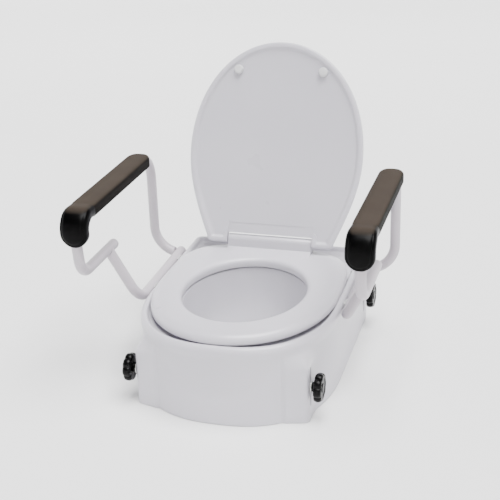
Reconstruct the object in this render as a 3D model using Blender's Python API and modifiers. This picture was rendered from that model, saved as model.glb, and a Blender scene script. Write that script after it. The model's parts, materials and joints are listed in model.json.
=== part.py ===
"""Raised toilet seat with a hinged seat ring, a lid and two fold-up armrests.

Units are metres and +Z is up. The sitter faces -Y and X = 0 is the plane of symmetry. Lengths
along Y are measured from the hinge line of the seat and lid, where the root empty stands, and
heights from the floor. The object is shown with the lid open and the armrests down. Right means
+X, the right-hand side as seen from the front.
"""
import math

import bmesh
import bpy
from mathutils import Matrix, Vector

# Whole object
HINGE_LINE_Y = 0.1351       # hinge line behind the middle of the object's box
HINGE_Z = 0.193
LID_OPEN_ANGLE = math.radians(111)
GAP = 0.0003                # between pieces that touch
SIDES = {"right": 1, "left": -1}

# Base shell
BASE_HALF_WIDTH = 0.190
BASE_FRONT = -0.413
BASE_REAR = 0.090
BASE_WIDEST_Y = -0.190
BASE_FRONT_POWER = 2.45
BASE_CORNER = 0.014
WALL = 0.0035
WALL_INSET = 0.0030         # how far the wall stands in from the bead around its top
RIM_TOP = 0.157
RIM_MIDDLE_INSET = 0.008
DECK_TOP = 0.147
DECK_UNDER = 0.1437
DECK_INSET = 0.018
MOUTH_TOP = 0.1535
FUNNEL_BOTTOM = 0.034
OPENING_HALF_WIDTH = 0.119
OPENING_HALF_LENGTH = 0.1425
OPENING_Y = -0.1905
REAR_CUT_HALF_WIDTH = 0.130
REAR_CUT_HEIGHT = 0.100

# Front bosses, which carry the front height screws
BOSS_SIDE = 0.165
BOSS_INNER = 0.118
BOSS_REAR = -0.322
BOSS_FRONT = -0.367
BOSS_FRONT_INNER = -0.379
BOSS_FACE_TOP = 0.110       # where its upright faces end
BOSS_TOP = 0.138            # where its slope meets the bead
BOSS_SLOPE_END = (0.146, -0.3535)

# Seat ring
SEAT_TOP = 0.175
SEAT_UNDER = 0.158
SEAT_HALF_WIDTH = 0.179
SEAT_FRONT = -0.400
SEAT_WIDEST_Y = -0.178
SEAT_REAR = 0.022
SEAT_FRONT_POWER = 2.1
SEAT_REAR_POWER = 4.0
HOLE_HALF_WIDTH = 0.118
HOLE_HALF_LENGTH = 0.142
HOLE_Y = -0.195
SEAT_HOLLOW_TOP = 0.168
SEAT_BUFFER_RADIUS = 0.008
SEAT_BUFFER_PLACES = {"front": (0.072, -0.348), "rear": (0.138, -0.105)}

# Hinge
RAMP_FRONT = -0.036
BARREL_RADIUS = 0.0105
BARREL_HALF_LENGTH = 0.088
PIN_RADIUS = 0.0025
PIN_INNER_X = 0.058
PIN_OUTER_X = 0.112
POST_X = 0.072
POST_HALF_WIDTH = 0.005
POST_HEAD_RADIUS = 0.0065
POST_STUD_RADIUS = 0.004
POST_STUD_Y = 0.0115
POST_STUD_END = 0.122
WING_NUT_BOTTOM = 0.130
WING_NUT_RADIUS = 0.009

# Lid
LID_LENGTH = 0.407
LID_HALF_WIDTH = 0.182
LID_WIDEST = 0.180
LID_HEEL_HALF_WIDTH = 0.134
LID_HEEL = -0.006
LID_RIM_DROP = 0.014        # underside of the rim below the hinge line, lid closed
LID_PANEL_DROP = 0.009
LID_TOP_DROP = 0.001
LID_CROWN = 0.005
LID_TOP_POWER = 2.05
KNUCKLE_RADIUS = 0.0095
KNUCKLE_INNER_X = 0.0895
LID_NOTCH = 0.0163
LID_HEEL_CORNER = 0.007
LID_BUFFER_X = 0.0888
LID_BUFFER_REACH = 0.349

# Armrests
TUBE_RADIUS = 0.010
ARM_X = 0.257
ARM_REAR_Y = 0.010
ARM_TOP_Z = 0.366
ARM_FRONT_Y = -0.381
JOG_FRONT_Y = -0.366
JOG_Z = 0.252
JOG_END_Y = -0.212
ARM_PIVOT_X = 0.2135
ARM_FOOT_X = 0.2112
ARM_FOOT_Z = 0.1463
ARM_KNEE_Z = 0.1602
ARM_BENDS = (0.056, 0.055, 0.028, 0.036)
PAD_HALF_WIDTH = 0.024
PAD_FRONT = -0.335
PAD_REAR = -0.037
PAD_UNDER = 0.3555
PAD_TOP = 0.381
PIVOT_PIN_RADIUS = 0.004
PAD_CORNER = 0.021
CAP_HALF_WIDTH = 0.0262
CAP_HALF_DEPTH = 0.0145
CAP_TIP_LENGTH = 0.0245
CAP_TIP_Z = 0.311
CAP_BEND = 0.026
TUBE_CLEARANCE = 0.00035
PLUG_SPIGOT = 0.0070        # radius
ARM_SPIGOT_LENGTH = 0.012
PIVOT_PIN_START = 0.197
PIVOT_PIN_END = 0.227
BUTTON_Y = -0.292
BUTTON_RADIUS = 0.0035

# Fixed side rails, which carry the armrests
RAIL_X = 0.203
RAIL_Z = 0.147
RAIL_REAR_Y = 0.018
RAIL_FRONT_X = 0.2015
RAIL_BEND_Y = -0.2335
RAIL_BEND = 0.034
RAIL_TOP_Y = -0.240
RAIL_SPIGOT_LENGTH = 0.003
SPACER_YS = {"front": -0.170, "rear": -0.028}
SPACER_HALF_LENGTH = 0.011
SPACER_HALF_HEIGHT = 0.0055
SCREW_Z = 0.1505
SCREW_RADIUS = 0.002
SCREW_HEAD_RADIUS = 0.003
SCREW_HEAD_X = 0.1742       # the end of the head, in the channel inside the bead
SCREW_SEAT_X = 0.1768
SCREW_END_X = 0.1985

# Height brackets and their clamping knobs
STUD_Z = 0.067
SLIDE_TRAVEL = 0.035
KNOB_SEATS = {"front": (-0.354, BOSS_SIDE), "rear": (0.050, BASE_HALF_WIDTH - 0.0027)}
BRACKET_MIDDLES = {"front": -0.3455, "rear": 0.050}
BRACKET_FOOT_X = {"front": 0.078, "rear": 0.105}
BRACKET_BOTTOM = 0.055
BRACKET_LEG_IN = 0.0045     # its leg's outer face, in from the base's wall
BRACKET_NUT_RADIUS = 0.0072
STUD_RADIUS = 0.004
FOOT_Z = 0.072
PLATE = 0.003
BRACKET_HALF_WIDTH = 0.016
KNOB_RADIUS = 0.0255
KNOB_LOBE = 0.0015
KNOB_LOBES = 8
KNOB_THICKNESS = 0.015
HUB_RADIUS = 0.009
HUB_LENGTH = 0.0055
WASHER_RADIUS = 0.0105
WASHER_THICKNESS = 0.0015

# Number of straight pieces in the shared outlines, from the front centre to the rear centre
FRONT_STEPS = 11
SIDE_STEPS = 4
CORNER_STEPS = 4
REAR_STEPS = 3

COLOURS = {
    "white_plastic": ((0.86, 0.86, 0.88, 1.0), 0.28, 0.0),
    "white_coated_steel": ((0.82, 0.80, 0.82, 1.0), 0.35, 0.1),
    "white_end_plug": ((0.88, 0.87, 0.88, 1.0), 0.40, 0.0),
    "grey_rubber": ((0.70, 0.70, 0.72, 1.0), 0.70, 0.0),
    "armrest_foam": ((0.055, 0.048, 0.044, 1.0), 0.50, 0.0),
    "black_plastic": ((0.012, 0.012, 0.013, 1.0), 0.25, 0.0),
    "zinc_steel": ((0.62, 0.62, 0.60, 1.0), 0.35, 1.0),
}


# ---------------------------------------------------------------- scene and materials

def clear_scene():
    for item in list(bpy.data.objects):
        bpy.data.objects.remove(item)


def new_collection(name):
    collection = bpy.data.collections.new(name)
    bpy.context.scene.collection.children.link(collection)
    return collection


def make_material(name, colour, roughness, metallic):
    material = bpy.data.materials.new(name)
    material.use_nodes = True
    shader = material.node_tree.nodes["Principled BSDF"]
    shader.inputs["Base Color"].default_value = colour
    shader.inputs["Roughness"].default_value = roughness
    shader.inputs["Metallic"].default_value = metallic
    return material


def make_empty(name, location, parent=None, tilt=0.0):
    empty = bpy.data.objects.new(name, None)
    empty.location = location
    empty.rotation_euler = (tilt, 0.0, 0.0)
    empty.parent = parent
    parts.objects.link(empty)
    return empty


def attach(item, pivot):
    """Hang a piece, drawn where it stands at zero angle, on its joint's empty."""
    item.parent = pivot
    item.matrix_parent_inverse = Matrix.Translation(-pivot_places[pivot.name])


def finish(item, material, pivot):
    """Turn a drawn object into a named part of the assembly."""
    item.data.materials.clear()
    item.data.materials.append(materials[material])
    attach(item, pivot)
    item.data.shade_smooth()
    item.data.set_sharp_from_angle(angle=math.radians(35))
    return item


def as_cutter(item, pivot):
    """Move a drawn object to the cutters: it shapes parts but isn't one."""
    parts.objects.unlink(item)
    cutters.objects.link(item)
    item.hide_render = True
    item.display_type = "WIRE"
    attach(item, pivot)
    return item


def combine(target, tool, operation):
    modifier = target.modifiers.new(tool.name, "BOOLEAN")
    modifier.operation = operation
    modifier.solver = "EXACT"
    modifier.object = tool


def cut(target, tool):
    combine(target, tool, "DIFFERENCE")


def join(target, tool):
    combine(target, tool, "UNION")


# ---------------------------------------------------------------- shapes

def object_from(name, shape):
    mesh = bpy.data.meshes.new(name)
    bmesh.ops.recalc_face_normals(shape, faces=shape.faces)
    shape.to_mesh(mesh)
    shape.free()
    item = bpy.data.objects.new(name, mesh)
    parts.objects.link(item)
    return item


def loft(name, rings, closed=False):
    """Skin a row of rings with equal counts. A closed loft joins the last ring to the first."""
    shape = bmesh.new()
    loops = [[shape.verts.new(point) for point in ring] for ring in rings]
    pairs = list(zip(loops, loops[1:]))
    if closed:
        pairs.append((loops[-1], loops[0]))
    for low, high in pairs:
        for here in range(len(low)):
            there = (here + 1) % len(low)
            shape.faces.new((low[here], low[there], high[there], high[here]))
    if not closed:
        shape.faces.new(loops[0])
        shape.faces.new(loops[-1])
    return object_from(name, shape)


def box(name, low, high):
    shape = bmesh.new()
    bmesh.ops.create_cube(shape, size=1.0)
    low, high = Vector(low), Vector(high)
    for vertex in shape.verts:
        middle = (low + high) / 2
        vertex.co = middle + Vector(a * b for a, b in zip(vertex.co, high - low))
    return object_from(name, shape)


def rod(name, start, end, radius, sides=16, end_radius=None):
    """A round bar, or a cone when end_radius is given, from start to end."""
    start, end = Vector(start), Vector(end)
    along = end - start
    shape = bmesh.new()
    far_radius = radius if end_radius is None else end_radius
    bmesh.ops.create_cone(shape, cap_ends=True, segments=sides, radius1=radius,
                          radius2=far_radius, depth=along.length)
    turn = Vector((0, 0, 1)).rotation_difference(along).to_matrix().to_4x4()
    bmesh.ops.transform(shape, matrix=Matrix.Translation((start + end) / 2) @ turn,
                        verts=shape.verts)
    return object_from(name, shape)


def cross_rod(name, sx, x_span, place, radius, sides=16, end_radius=None):
    """A rod along X between two distances out from the middle plane, at place's Y and Z."""
    return rod(name, (sx * x_span[0], place.y, place.z), (sx * x_span[1], place.y, place.z),
               radius, sides, end_radius)


def curve_to_mesh(item):
    """Replace a curve object by a mesh object with its caps welded on."""
    graph = bpy.context.evaluated_depsgraph_get()
    mesh = bpy.data.meshes.new_from_object(item.evaluated_get(graph))
    shape = bmesh.new()
    shape.from_mesh(mesh)
    bmesh.ops.remove_doubles(shape, verts=shape.verts, dist=0.00001)
    bmesh.ops.recalc_face_normals(shape, faces=shape.faces)
    shape.to_mesh(mesh)
    shape.free()
    name = item.name
    place = item.matrix_world.copy()
    bpy.data.objects.remove(item)
    solid = bpy.data.objects.new(name, mesh)
    solid.matrix_world = place
    parts.objects.link(solid)
    return solid


def tube(name, points, radius):
    curve = bpy.data.curves.new(name, "CURVE")
    curve.dimensions = "3D"
    curve.bevel_depth = radius
    curve.bevel_resolution = 4
    curve.use_fill_caps = True
    spline = curve.splines.new("POLY")
    spline.points.add(len(points) - 1)
    for slot, point in zip(spline.points, points):
        slot.co = (*point, 1.0)
    item = bpy.data.objects.new(name, curve)
    parts.objects.link(item)
    return curve_to_mesh(item)


def prism(name, outline, thickness):
    """A flat outline in XY, extruded to half its thickness on each side of XY."""
    curve = bpy.data.curves.new(name, "CURVE")
    curve.dimensions = "2D"
    curve.fill_mode = "BOTH"
    curve.extrude = thickness / 2
    spline = curve.splines.new("POLY")
    spline.use_cyclic_u = True
    spline.points.add(len(outline) - 1)
    for slot, (across, up) in zip(spline.points, outline):
        slot.co = (across, up, 0.0, 1.0)
    item = bpy.data.objects.new(name, curve)
    parts.objects.link(item)
    return curve_to_mesh(item)


def side_prism(name, outline, x_span):
    """An outline of (y, z) points, extruded along X between the two ends of x_span."""
    item = prism(name, outline, abs(x_span[1] - x_span[0]))
    upright = Matrix.Rotation(math.radians(90), 4, "X")
    facing = Matrix.Rotation(math.radians(90), 4, "Z")
    return swing(item, Matrix.Translation((sum(x_span) / 2, 0, 0)) @ facing @ upright)


def swing(item, matrix):
    """Turn and move the mesh itself, so that the object stays at the hinge line."""
    item.data.transform(matrix)
    item.data.update()
    return item


def round_edges(item, width, segments=2, angle=30):
    bevel = item.modifiers.new("rounded_edges", "BEVEL")
    bevel.width = width
    bevel.segments = segments
    bevel.limit_method = "ANGLE"
    bevel.angle_limit = math.radians(angle)


def rounded_path(corners, radii, step=math.radians(10)):
    """Points along straight runs whose inner corners are arcs of the given radii."""
    corners = [Vector(corner) for corner in corners]
    points = [corners[0]]
    for before, corner, after, radius in zip(corners, corners[1:], corners[2:], radii):
        back = (before - corner).normalized()
        ahead = (after - corner).normalized()
        half = back.angle(ahead) / 2
        centre = corner + (back + ahead).normalized() * radius / math.sin(half)
        first = (corner + back * radius / math.tan(half) - centre).normalized()
        last = (corner + ahead * radius / math.tan(half) - centre).normalized()
        count = max(2, round(first.angle(last) / step))
        for index in range(count + 1):
            points.append(centre + first.slerp(last, index / count) * radius)
    points.append(corners[-1])
    return points


def mirror_x(points, sx):
    return [Vector((point.x * sx, point.y, point.z)) for point in points]


# ---------------------------------------------------------------- outlines

def arc_steps(count):
    return [math.radians(90) * index / count for index in range(count + 1)]


def whole_loop(half):
    """Close a half outline, drawn from the front centre to the rear centre, about X = 0."""
    return half + [(-x, y) for x, y in half[-2:0:-1]]


def front_quarter(half_width, front, widest_y, power):
    depth = widest_y - front
    return [(half_width * math.sin(angle) ** (2 / power),
             widest_y - depth * max(math.cos(angle), 0.0) ** (2 / power))
            for angle in arc_steps(FRONT_STEPS)]


def rear_quarter(half_width, rear, widest_y, power):
    depth = rear - widest_y
    count = SIDE_STEPS + CORNER_STEPS + REAR_STEPS
    return [(half_width * max(math.cos(angle), 0.0) ** (2 / power),
             widest_y + depth * math.sin(angle) ** (2 / power))
            for angle in arc_steps(count)]


def at_height(loop, height):
    return [Vector((x, y, height)) for x, y in loop]


def base_ring(inset, height):
    """The base's plan outline, drawn in by inset: a bowed front, straight sides, square back."""
    half_width = BASE_HALF_WIDTH - inset
    rear = BASE_REAR - inset
    corner = BASE_CORNER - inset / 2
    half = front_quarter(half_width, BASE_FRONT + inset, BASE_WIDEST_Y, BASE_FRONT_POWER)
    side_end = rear - corner
    for index in range(1, SIDE_STEPS + 1):
        half.append((half_width, BASE_WIDEST_Y + (side_end - BASE_WIDEST_Y) * index / SIDE_STEPS))
    for angle in arc_steps(CORNER_STEPS)[1:]:
        half.append((half_width - corner + corner * math.cos(angle),
                     side_end + corner * math.sin(angle)))
    for index in range(1, REAR_STEPS + 1):
        half.append(((half_width - corner) * (1 - index / REAR_STEPS), rear))
    return at_height(whole_loop(half), height)


def oval_ring(half_width, half_length, centre_y, height):
    half = front_quarter(half_width, centre_y - half_length, centre_y, 2.0)
    half += rear_quarter(half_width, centre_y + half_length, centre_y, 2.0)[1:]
    return at_height(whole_loop(half), height)


def opening_ring(grow, height):
    return oval_ring(OPENING_HALF_WIDTH + grow, OPENING_HALF_LENGTH + grow, OPENING_Y, height)


def hole_ring(grow, height):
    return oval_ring(HOLE_HALF_WIDTH + grow, HOLE_HALF_LENGTH + grow, HOLE_Y, height)


def seat_ring_outline(inset, height):
    half = front_quarter(SEAT_HALF_WIDTH - inset, SEAT_FRONT + inset, SEAT_WIDEST_Y,
                         SEAT_FRONT_POWER)
    half += rear_quarter(SEAT_HALF_WIDTH - inset, SEAT_REAR - inset, SEAT_WIDEST_Y,
                         SEAT_REAR_POWER)[1:]
    return at_height(whole_loop(half), height)


def lid_ring(inset, height):
    """The closed lid's outline: a round nose, tapering sides and a straight heel."""
    half = front_quarter(LID_HALF_WIDTH - inset, -LID_LENGTH + inset, -LID_WIDEST, LID_TOP_POWER)
    steps = SIDE_STEPS + CORNER_STEPS
    heel = -LID_HEEL - inset
    for angle in arc_steps(steps)[1:]:
        share = angle / math.radians(90)
        across = LID_HEEL_HALF_WIDTH + (LID_HALF_WIDTH - LID_HEEL_HALF_WIDTH) * math.cos(angle)
        length = LID_WIDEST + heel - LID_HEEL_CORNER
        half.append((across - inset, -LID_WIDEST + length * share))
    heel_end = LID_HEEL_HALF_WIDTH - LID_HEEL_CORNER - inset
    for index in range(REAR_STEPS + 1):
        half.append((heel_end * (1 - index / REAR_STEPS), heel))
    return at_height(whole_loop(half), HINGE_Z + height)


# ---------------------------------------------------------------- base

def boss_block(name, sx, inner_x, in_from_face, bottom):
    """A front boss: upright faces up to BOSS_FACE_TOP, then a slope back to the bead."""
    outer_x = BOSS_SIDE - in_from_face
    outline = [(inner_x, BOSS_FRONT_INNER + in_from_face), (outer_x, BOSS_FRONT + in_from_face),
               (outer_x, BOSS_REAR), (inner_x, BOSS_REAR)]
    slope_end = [outline[0], (BOSS_SLOPE_END[0] - in_from_face, BOSS_SLOPE_END[1] + in_from_face),
                 outline[2], outline[3]]
    levels = [(bottom, outline), (BOSS_FACE_TOP - in_from_face / 2, outline),
              (BOSS_TOP - 2 * in_from_face, slope_end)]
    rings = [[(sx * x, y, height) for x, y in ring] for height, ring in levels]
    return loft(name, rings)


def slot_cutter(name, sx, x_span, centre_y):
    """A round-ended vertical slot, cut through a wall along X."""
    radius = STUD_RADIUS + 0.0005
    top = []
    for step in range(9):
        angle = math.radians(180) * step / 8
        top.append((radius * math.cos(angle), SLIDE_TRAVEL + radius * math.sin(angle)))
    outline = [(centre_y + y, STUD_Z + z) for y, z in top + [(-y, -z) for y, z in top]]
    return side_prism(name, outline, (sx * x_span[0], sx * x_span[1]))


def base_shell():
    outside = [(0.0020, 0.0), (0.0027, 0.070), (WALL_INSET, 0.131), (0.0014, 0.137), (0.0, 0.1445),
               (0.0008, 0.1505), (0.0040, 0.1555), (RIM_MIDDLE_INSET, RIM_TOP), (0.0120, 0.1550),
               (0.0145, 0.1505), (DECK_INSET, DECK_TOP)]
    mouth = [(0.0120, DECK_TOP), (0.0085, 0.1510), (0.0045, MOUTH_TOP), (0.0010, 0.1520),
             (0.0, 0.148), (-0.0030, 0.100), (-0.0060, FUNNEL_BOTTOM)]
    funnel_back = [(-0.0032, FUNNEL_BOTTOM), (0.0005, 0.100), (0.0034, DECK_UNDER)]
    inside = [(DECK_INSET + 0.002, DECK_UNDER), (WALL_INSET + WALL + 0.001, DECK_UNDER - 0.001),
              (WALL_INSET + WALL, 0.128), (0.0020 + WALL, 0.0)]
    rings = [base_ring(*level) for level in outside]
    rings += [opening_ring(*level) for level in mouth]
    rings += [opening_ring(*level) for level in funnel_back]
    rings += [base_ring(*level) for level in inside]
    shell = loft("base_shell", rings, closed=True)

    for side, sx in SIDES.items():
        boss = boss_block(f"boss_{side}", sx, BOSS_INNER, 0.0, 0.0)
        round_edges(boss, 0.005)
        join(shell, as_cutter(boss, root))
        hollow = boss_block(f"boss_hollow_{side}", sx, BOSS_INNER - 0.010, WALL, -0.010)
        cut(shell, as_cutter(hollow, root))
        for end, (centre_y, face) in KNOB_SEATS.items():
            slot = slot_cutter(f"slot_{end}_{side}", sx, (face - 0.012, face + 0.010), centre_y)
            cut(shell, as_cutter(slot, root))
        for end, centre_y in SPACER_YS.items():
            place = Vector((0, centre_y, SCREW_Z))
            hole = cross_rod(f"screw_hole_{end}_{side}", sx, (0.165, 0.195), place,
                             SCREW_RADIUS + GAP, 12)
            spot_face = cross_rod(f"spot_face_{end}_{side}", sx, (0.165, SCREW_SEAT_X + GAP), place,
                                  SCREW_HEAD_RADIUS + GAP, 12)
            cut(shell, as_cutter(hole, root))
            cut(shell, as_cutter(spot_face, root))
        hole = rod(f"post_hole_{side}", (sx * POST_X, POST_STUD_Y, DECK_UNDER - 0.004),
                   (sx * POST_X, POST_STUD_Y, DECK_TOP + 0.004), POST_STUD_RADIUS + GAP)
        cut(shell, as_cutter(hole, root))
    opening = box("rear_opening", (-REAR_CUT_HALF_WIDTH, BASE_REAR - 0.020, -0.010),
                  (REAR_CUT_HALF_WIDTH, BASE_REAR + 0.010, REAR_CUT_HEIGHT))
    round_edges(opening, 0.012)
    cut(shell, as_cutter(opening, root))
    finish(shell, "white_plastic", root)


# ---------------------------------------------------------------- hinge

def hinge_hardware(side, sx):
    """The post that stands on the deck, its wing nut below and the pin through its head."""
    x = sx * POST_X
    hinge_line = Vector((0, 0, HINGE_Z))
    outline = [(-POST_HEAD_RADIUS, DECK_TOP + 0.001)]
    for step in range(9):
        angle = math.radians(180 - 22.5 * step)
        outline.append((POST_HEAD_RADIUS * math.cos(angle),
                        HINGE_Z + POST_HEAD_RADIUS * math.sin(angle)))
    outline.append((POST_HEAD_RADIUS, DECK_TOP + 0.001))
    post = side_prism(f"hinge_post_{side}", outline, (x - POST_HALF_WIDTH, x + POST_HALF_WIDTH))
    foot = box(f"post_foot_{side}", (x - 0.011, -0.014, DECK_TOP + GAP),
               (x + 0.011, 0.017, DECK_TOP + 0.003))
    stud = rod(f"post_stud_{side}", (x, POST_STUD_Y, POST_STUD_END),
               (x, POST_STUD_Y, DECK_TOP + 0.002), POST_STUD_RADIUS)
    for tool in (foot, stud):
        join(post, as_cutter(tool, root))
    bore = cross_rod(f"post_bore_{side}", sx, (POST_X - 0.01, POST_X + 0.01), hinge_line,
                     PIN_RADIUS + GAP, 12)
    cut(post, as_cutter(bore, root))
    finish(post, "white_plastic", root)

    pin = cross_rod(f"hinge_pin_{side}", sx, (PIN_INNER_X, PIN_OUTER_X), hinge_line, PIN_RADIUS, 12)
    finish(pin, "zinc_steel", root)

    nut = rod(f"hinge_wing_nut_{side}", (x, POST_STUD_Y, WING_NUT_BOTTOM),
              (x, POST_STUD_Y, DECK_UNDER - GAP), WING_NUT_RADIUS)
    wings = box(f"nut_wings_{side}", (x - 0.017, POST_STUD_Y - 0.002, WING_NUT_BOTTOM + 0.001),
                (x + 0.017, POST_STUD_Y + 0.002, WING_NUT_BOTTOM + 0.009))
    thread = rod(f"nut_thread_{side}", (x, POST_STUD_Y, WING_NUT_BOTTOM - 0.015),
                 (x, POST_STUD_Y, DECK_TOP + 0.003), POST_STUD_RADIUS + GAP)
    join(nut, as_cutter(wings, root))
    cut(nut, as_cutter(thread, root))
    finish(nut, "white_plastic", root)


def pin_bore(name, sx, x_span, pivot):
    bore = cross_rod(name, sx, x_span, Vector((0, 0, HINGE_Z)), PIN_RADIUS + GAP, 12)
    return as_cutter(bore, pivot)


# ---------------------------------------------------------------- seat ring

def seat_ring():
    outside = [(0.0030, SEAT_UNDER), (0.0006, 0.1605), (0.0, 0.1640), (0.0012, 0.1680),
               (0.0050, 0.1718), (0.0115, 0.1742), (0.0190, SEAT_TOP)]
    hole = [(0.0110, SEAT_TOP), (0.0048, 0.1736), (0.0011, 0.1700), (0.0, 0.1650),
            (0.0030, SEAT_UNDER)]
    rings = [seat_ring_outline(*level) for level in outside]
    rings += [hole_ring(*level) for level in hole]
    rings += [hole_ring(0.008, SEAT_UNDER), hole_ring(0.010, SEAT_HOLLOW_TOP)]
    rings += [seat_ring_outline(0.010, SEAT_HOLLOW_TOP), seat_ring_outline(0.008, SEAT_UNDER)]
    ring = loft("seat_ring", rings, closed=True)

    barrel = seat_barrel()
    join(ring, as_cutter(barrel, seat_pivot))
    for side, sx in SIDES.items():
        cut(ring, as_cutter(post_room(side, sx), seat_pivot))
        cut(ring, pin_bore(f"seat_bore_{side}", sx, (PIN_INNER_X - 0.001, 0.095), seat_pivot))
    finish(ring, "white_plastic", seat_pivot)


def seat_barrel():
    """The raised bar at the seat's rear: a ramp from the seat's top into a round barrel."""
    outline = [(RAMP_FRONT, 0.170), (RAMP_FRONT, SEAT_TOP - 0.0004)]
    for step in range(1, 5):
        share = step / 4
        outline.append((RAMP_FRONT + 0.024 * share, SEAT_TOP + 0.008 * share ** 2))
    for step in range(10):
        angle = math.radians(190 - 20 * step)
        outline.append((BARREL_RADIUS * math.cos(angle), HINGE_Z + BARREL_RADIUS * math.sin(angle)))
    outline.append((0.0103, 0.170))
    return side_prism("seat_barrel", outline, (-BARREL_HALF_LENGTH, BARREL_HALF_LENGTH))


def post_room(side, sx):
    """The slot that lets the seat turn up around its post: open below and to the rear."""
    low, radius = SEAT_UNDER - 0.010, POST_HEAD_RADIUS + 0.0008
    outline = [(-radius, low)]
    for step in range(5):
        angle = math.radians(180 - 22.5 * step)
        outline.append((radius * math.cos(angle), HINGE_Z + radius * math.sin(angle)))
    outline += [(0.0060, HINGE_Z + 0.0088), (0.040, HINGE_Z + 0.0145), (0.040, low)]
    reach = POST_HALF_WIDTH + 0.001
    return side_prism(f"post_room_{side}", outline, (sx * POST_X - reach, sx * POST_X + reach))


def seat_buffers():
    for end, (x, y) in SEAT_BUFFER_PLACES.items():
        for side, sx in SIDES.items():
            buffer = rod(f"seat_buffer_{end}_{side}", (sx * x, y, DECK_TOP + GAP),
                         (sx * x, y, SEAT_HOLLOW_TOP - GAP), SEAT_BUFFER_RADIUS,
                         end_radius=SEAT_BUFFER_RADIUS - 0.0015)
            finish(buffer, "grey_rubber", seat_pivot)


# ---------------------------------------------------------------- lid

def lid():
    under = -LID_RIM_DROP
    panel = -LID_PANEL_DROP
    top = -LID_TOP_DROP
    levels = [(0.0125, panel), (0.0095, under + 0.001), (0.0065, under), (0.0020, under),
              (0.0, under + 0.003), (0.0, top - 0.005), (0.0020, top - 0.0015), (0.0070, top),
              (0.050, top + LID_CROWN * 0.6), (0.100, top + LID_CROWN)]
    cover = loft("lid", [lid_ring(*level) for level in levels])

    notch = box("lid_notch", (-KNUCKLE_INNER_X, -LID_NOTCH, HINGE_Z - 0.030),
                (KNUCKLE_INNER_X, 0.030, HINGE_Z + 0.030))
    cut(cover, as_cutter(notch, lid_pivot))
    for side, sx in SIDES.items():
        knuckle = cross_rod(f"knuckle_{side}", sx,
                            (KNUCKLE_INNER_X + 0.0005, LID_HEEL_HALF_WIDTH - 0.010),
                            Vector((0, 0, HINGE_Z)), KNUCKLE_RADIUS, 20)
        join(cover, as_cutter(knuckle, lid_pivot))
        cut(cover, pin_bore(f"lid_bore_{side}", sx, (0.085, PIN_OUTER_X + 0.001), lid_pivot))
        buffer = rod(f"lid_buffer_{side}",
                     (sx * LID_BUFFER_X, -LID_BUFFER_REACH, SEAT_TOP + GAP),
                     (sx * LID_BUFFER_X, -LID_BUFFER_REACH, HINGE_Z + panel - GAP),
                     0.0085, 20, 0.010)
        finish(buffer, "grey_rubber", lid_pivot)
    finish(cover, "white_plastic", lid_pivot)


# ---------------------------------------------------------------- armrests and rails

def arm_path():
    corners = [(ARM_FOOT_X, ARM_REAR_Y, ARM_FOOT_Z), (ARM_X, ARM_REAR_Y, ARM_KNEE_Z),
               (ARM_X, ARM_REAR_Y, ARM_TOP_Z), (ARM_X, ARM_FRONT_Y, ARM_TOP_Z),
               (ARM_X, JOG_FRONT_Y, JOG_Z), (ARM_X, JOG_END_Y, JOG_Z)]
    return rounded_path(corners, ARM_BENDS)


def rail_path():
    corners = [(ARM_X, RAIL_TOP_Y, JOG_Z), (RAIL_FRONT_X, RAIL_BEND_Y, RAIL_Z),
               (RAIL_X, RAIL_REAR_Y, RAIL_Z)]
    return rounded_path(corners, (RAIL_BEND,))


def tube_plug(name, end, spigot_length, pivot):
    """A domed plug with a spigot, in the mouth of a tube that ends at end and faces +Y."""
    flange = TUBE_RADIUS - 0.0004
    profile = [(PLUG_SPIGOT - 0.0004, -spigot_length), (PLUG_SPIGOT, 0.001 - spigot_length),
               (PLUG_SPIGOT, 0.0), (flange + 0.0002, GAP), (flange, 0.0020)]
    profile += [(flange * math.cos(angle), 0.0020 + 0.0040 * math.sin(angle))
                for angle in (math.radians(30), math.radians(60))]
    sides = 16
    rings = []
    for radius, along in profile:
        ring = []
        for index in range(sides):
            angle = 2 * math.pi * index / sides
            ring.append(Vector(end) + Vector((radius * math.cos(angle), along,
                                              radius * math.sin(angle))))
        rings.append(ring)
    return finish(loft(name, rings), "white_end_plug", pivot)


def plug_room(name, end, spigot_length, pivot):
    """The bore in a tube's mouth for its plug's spigot."""
    room = rod(name, Vector(end) - Vector((0, spigot_length + 0.0005, 0)),
               Vector(end) + Vector((0, 0.010, 0)), PLUG_SPIGOT + GAP)
    return as_cutter(room, pivot)


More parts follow.
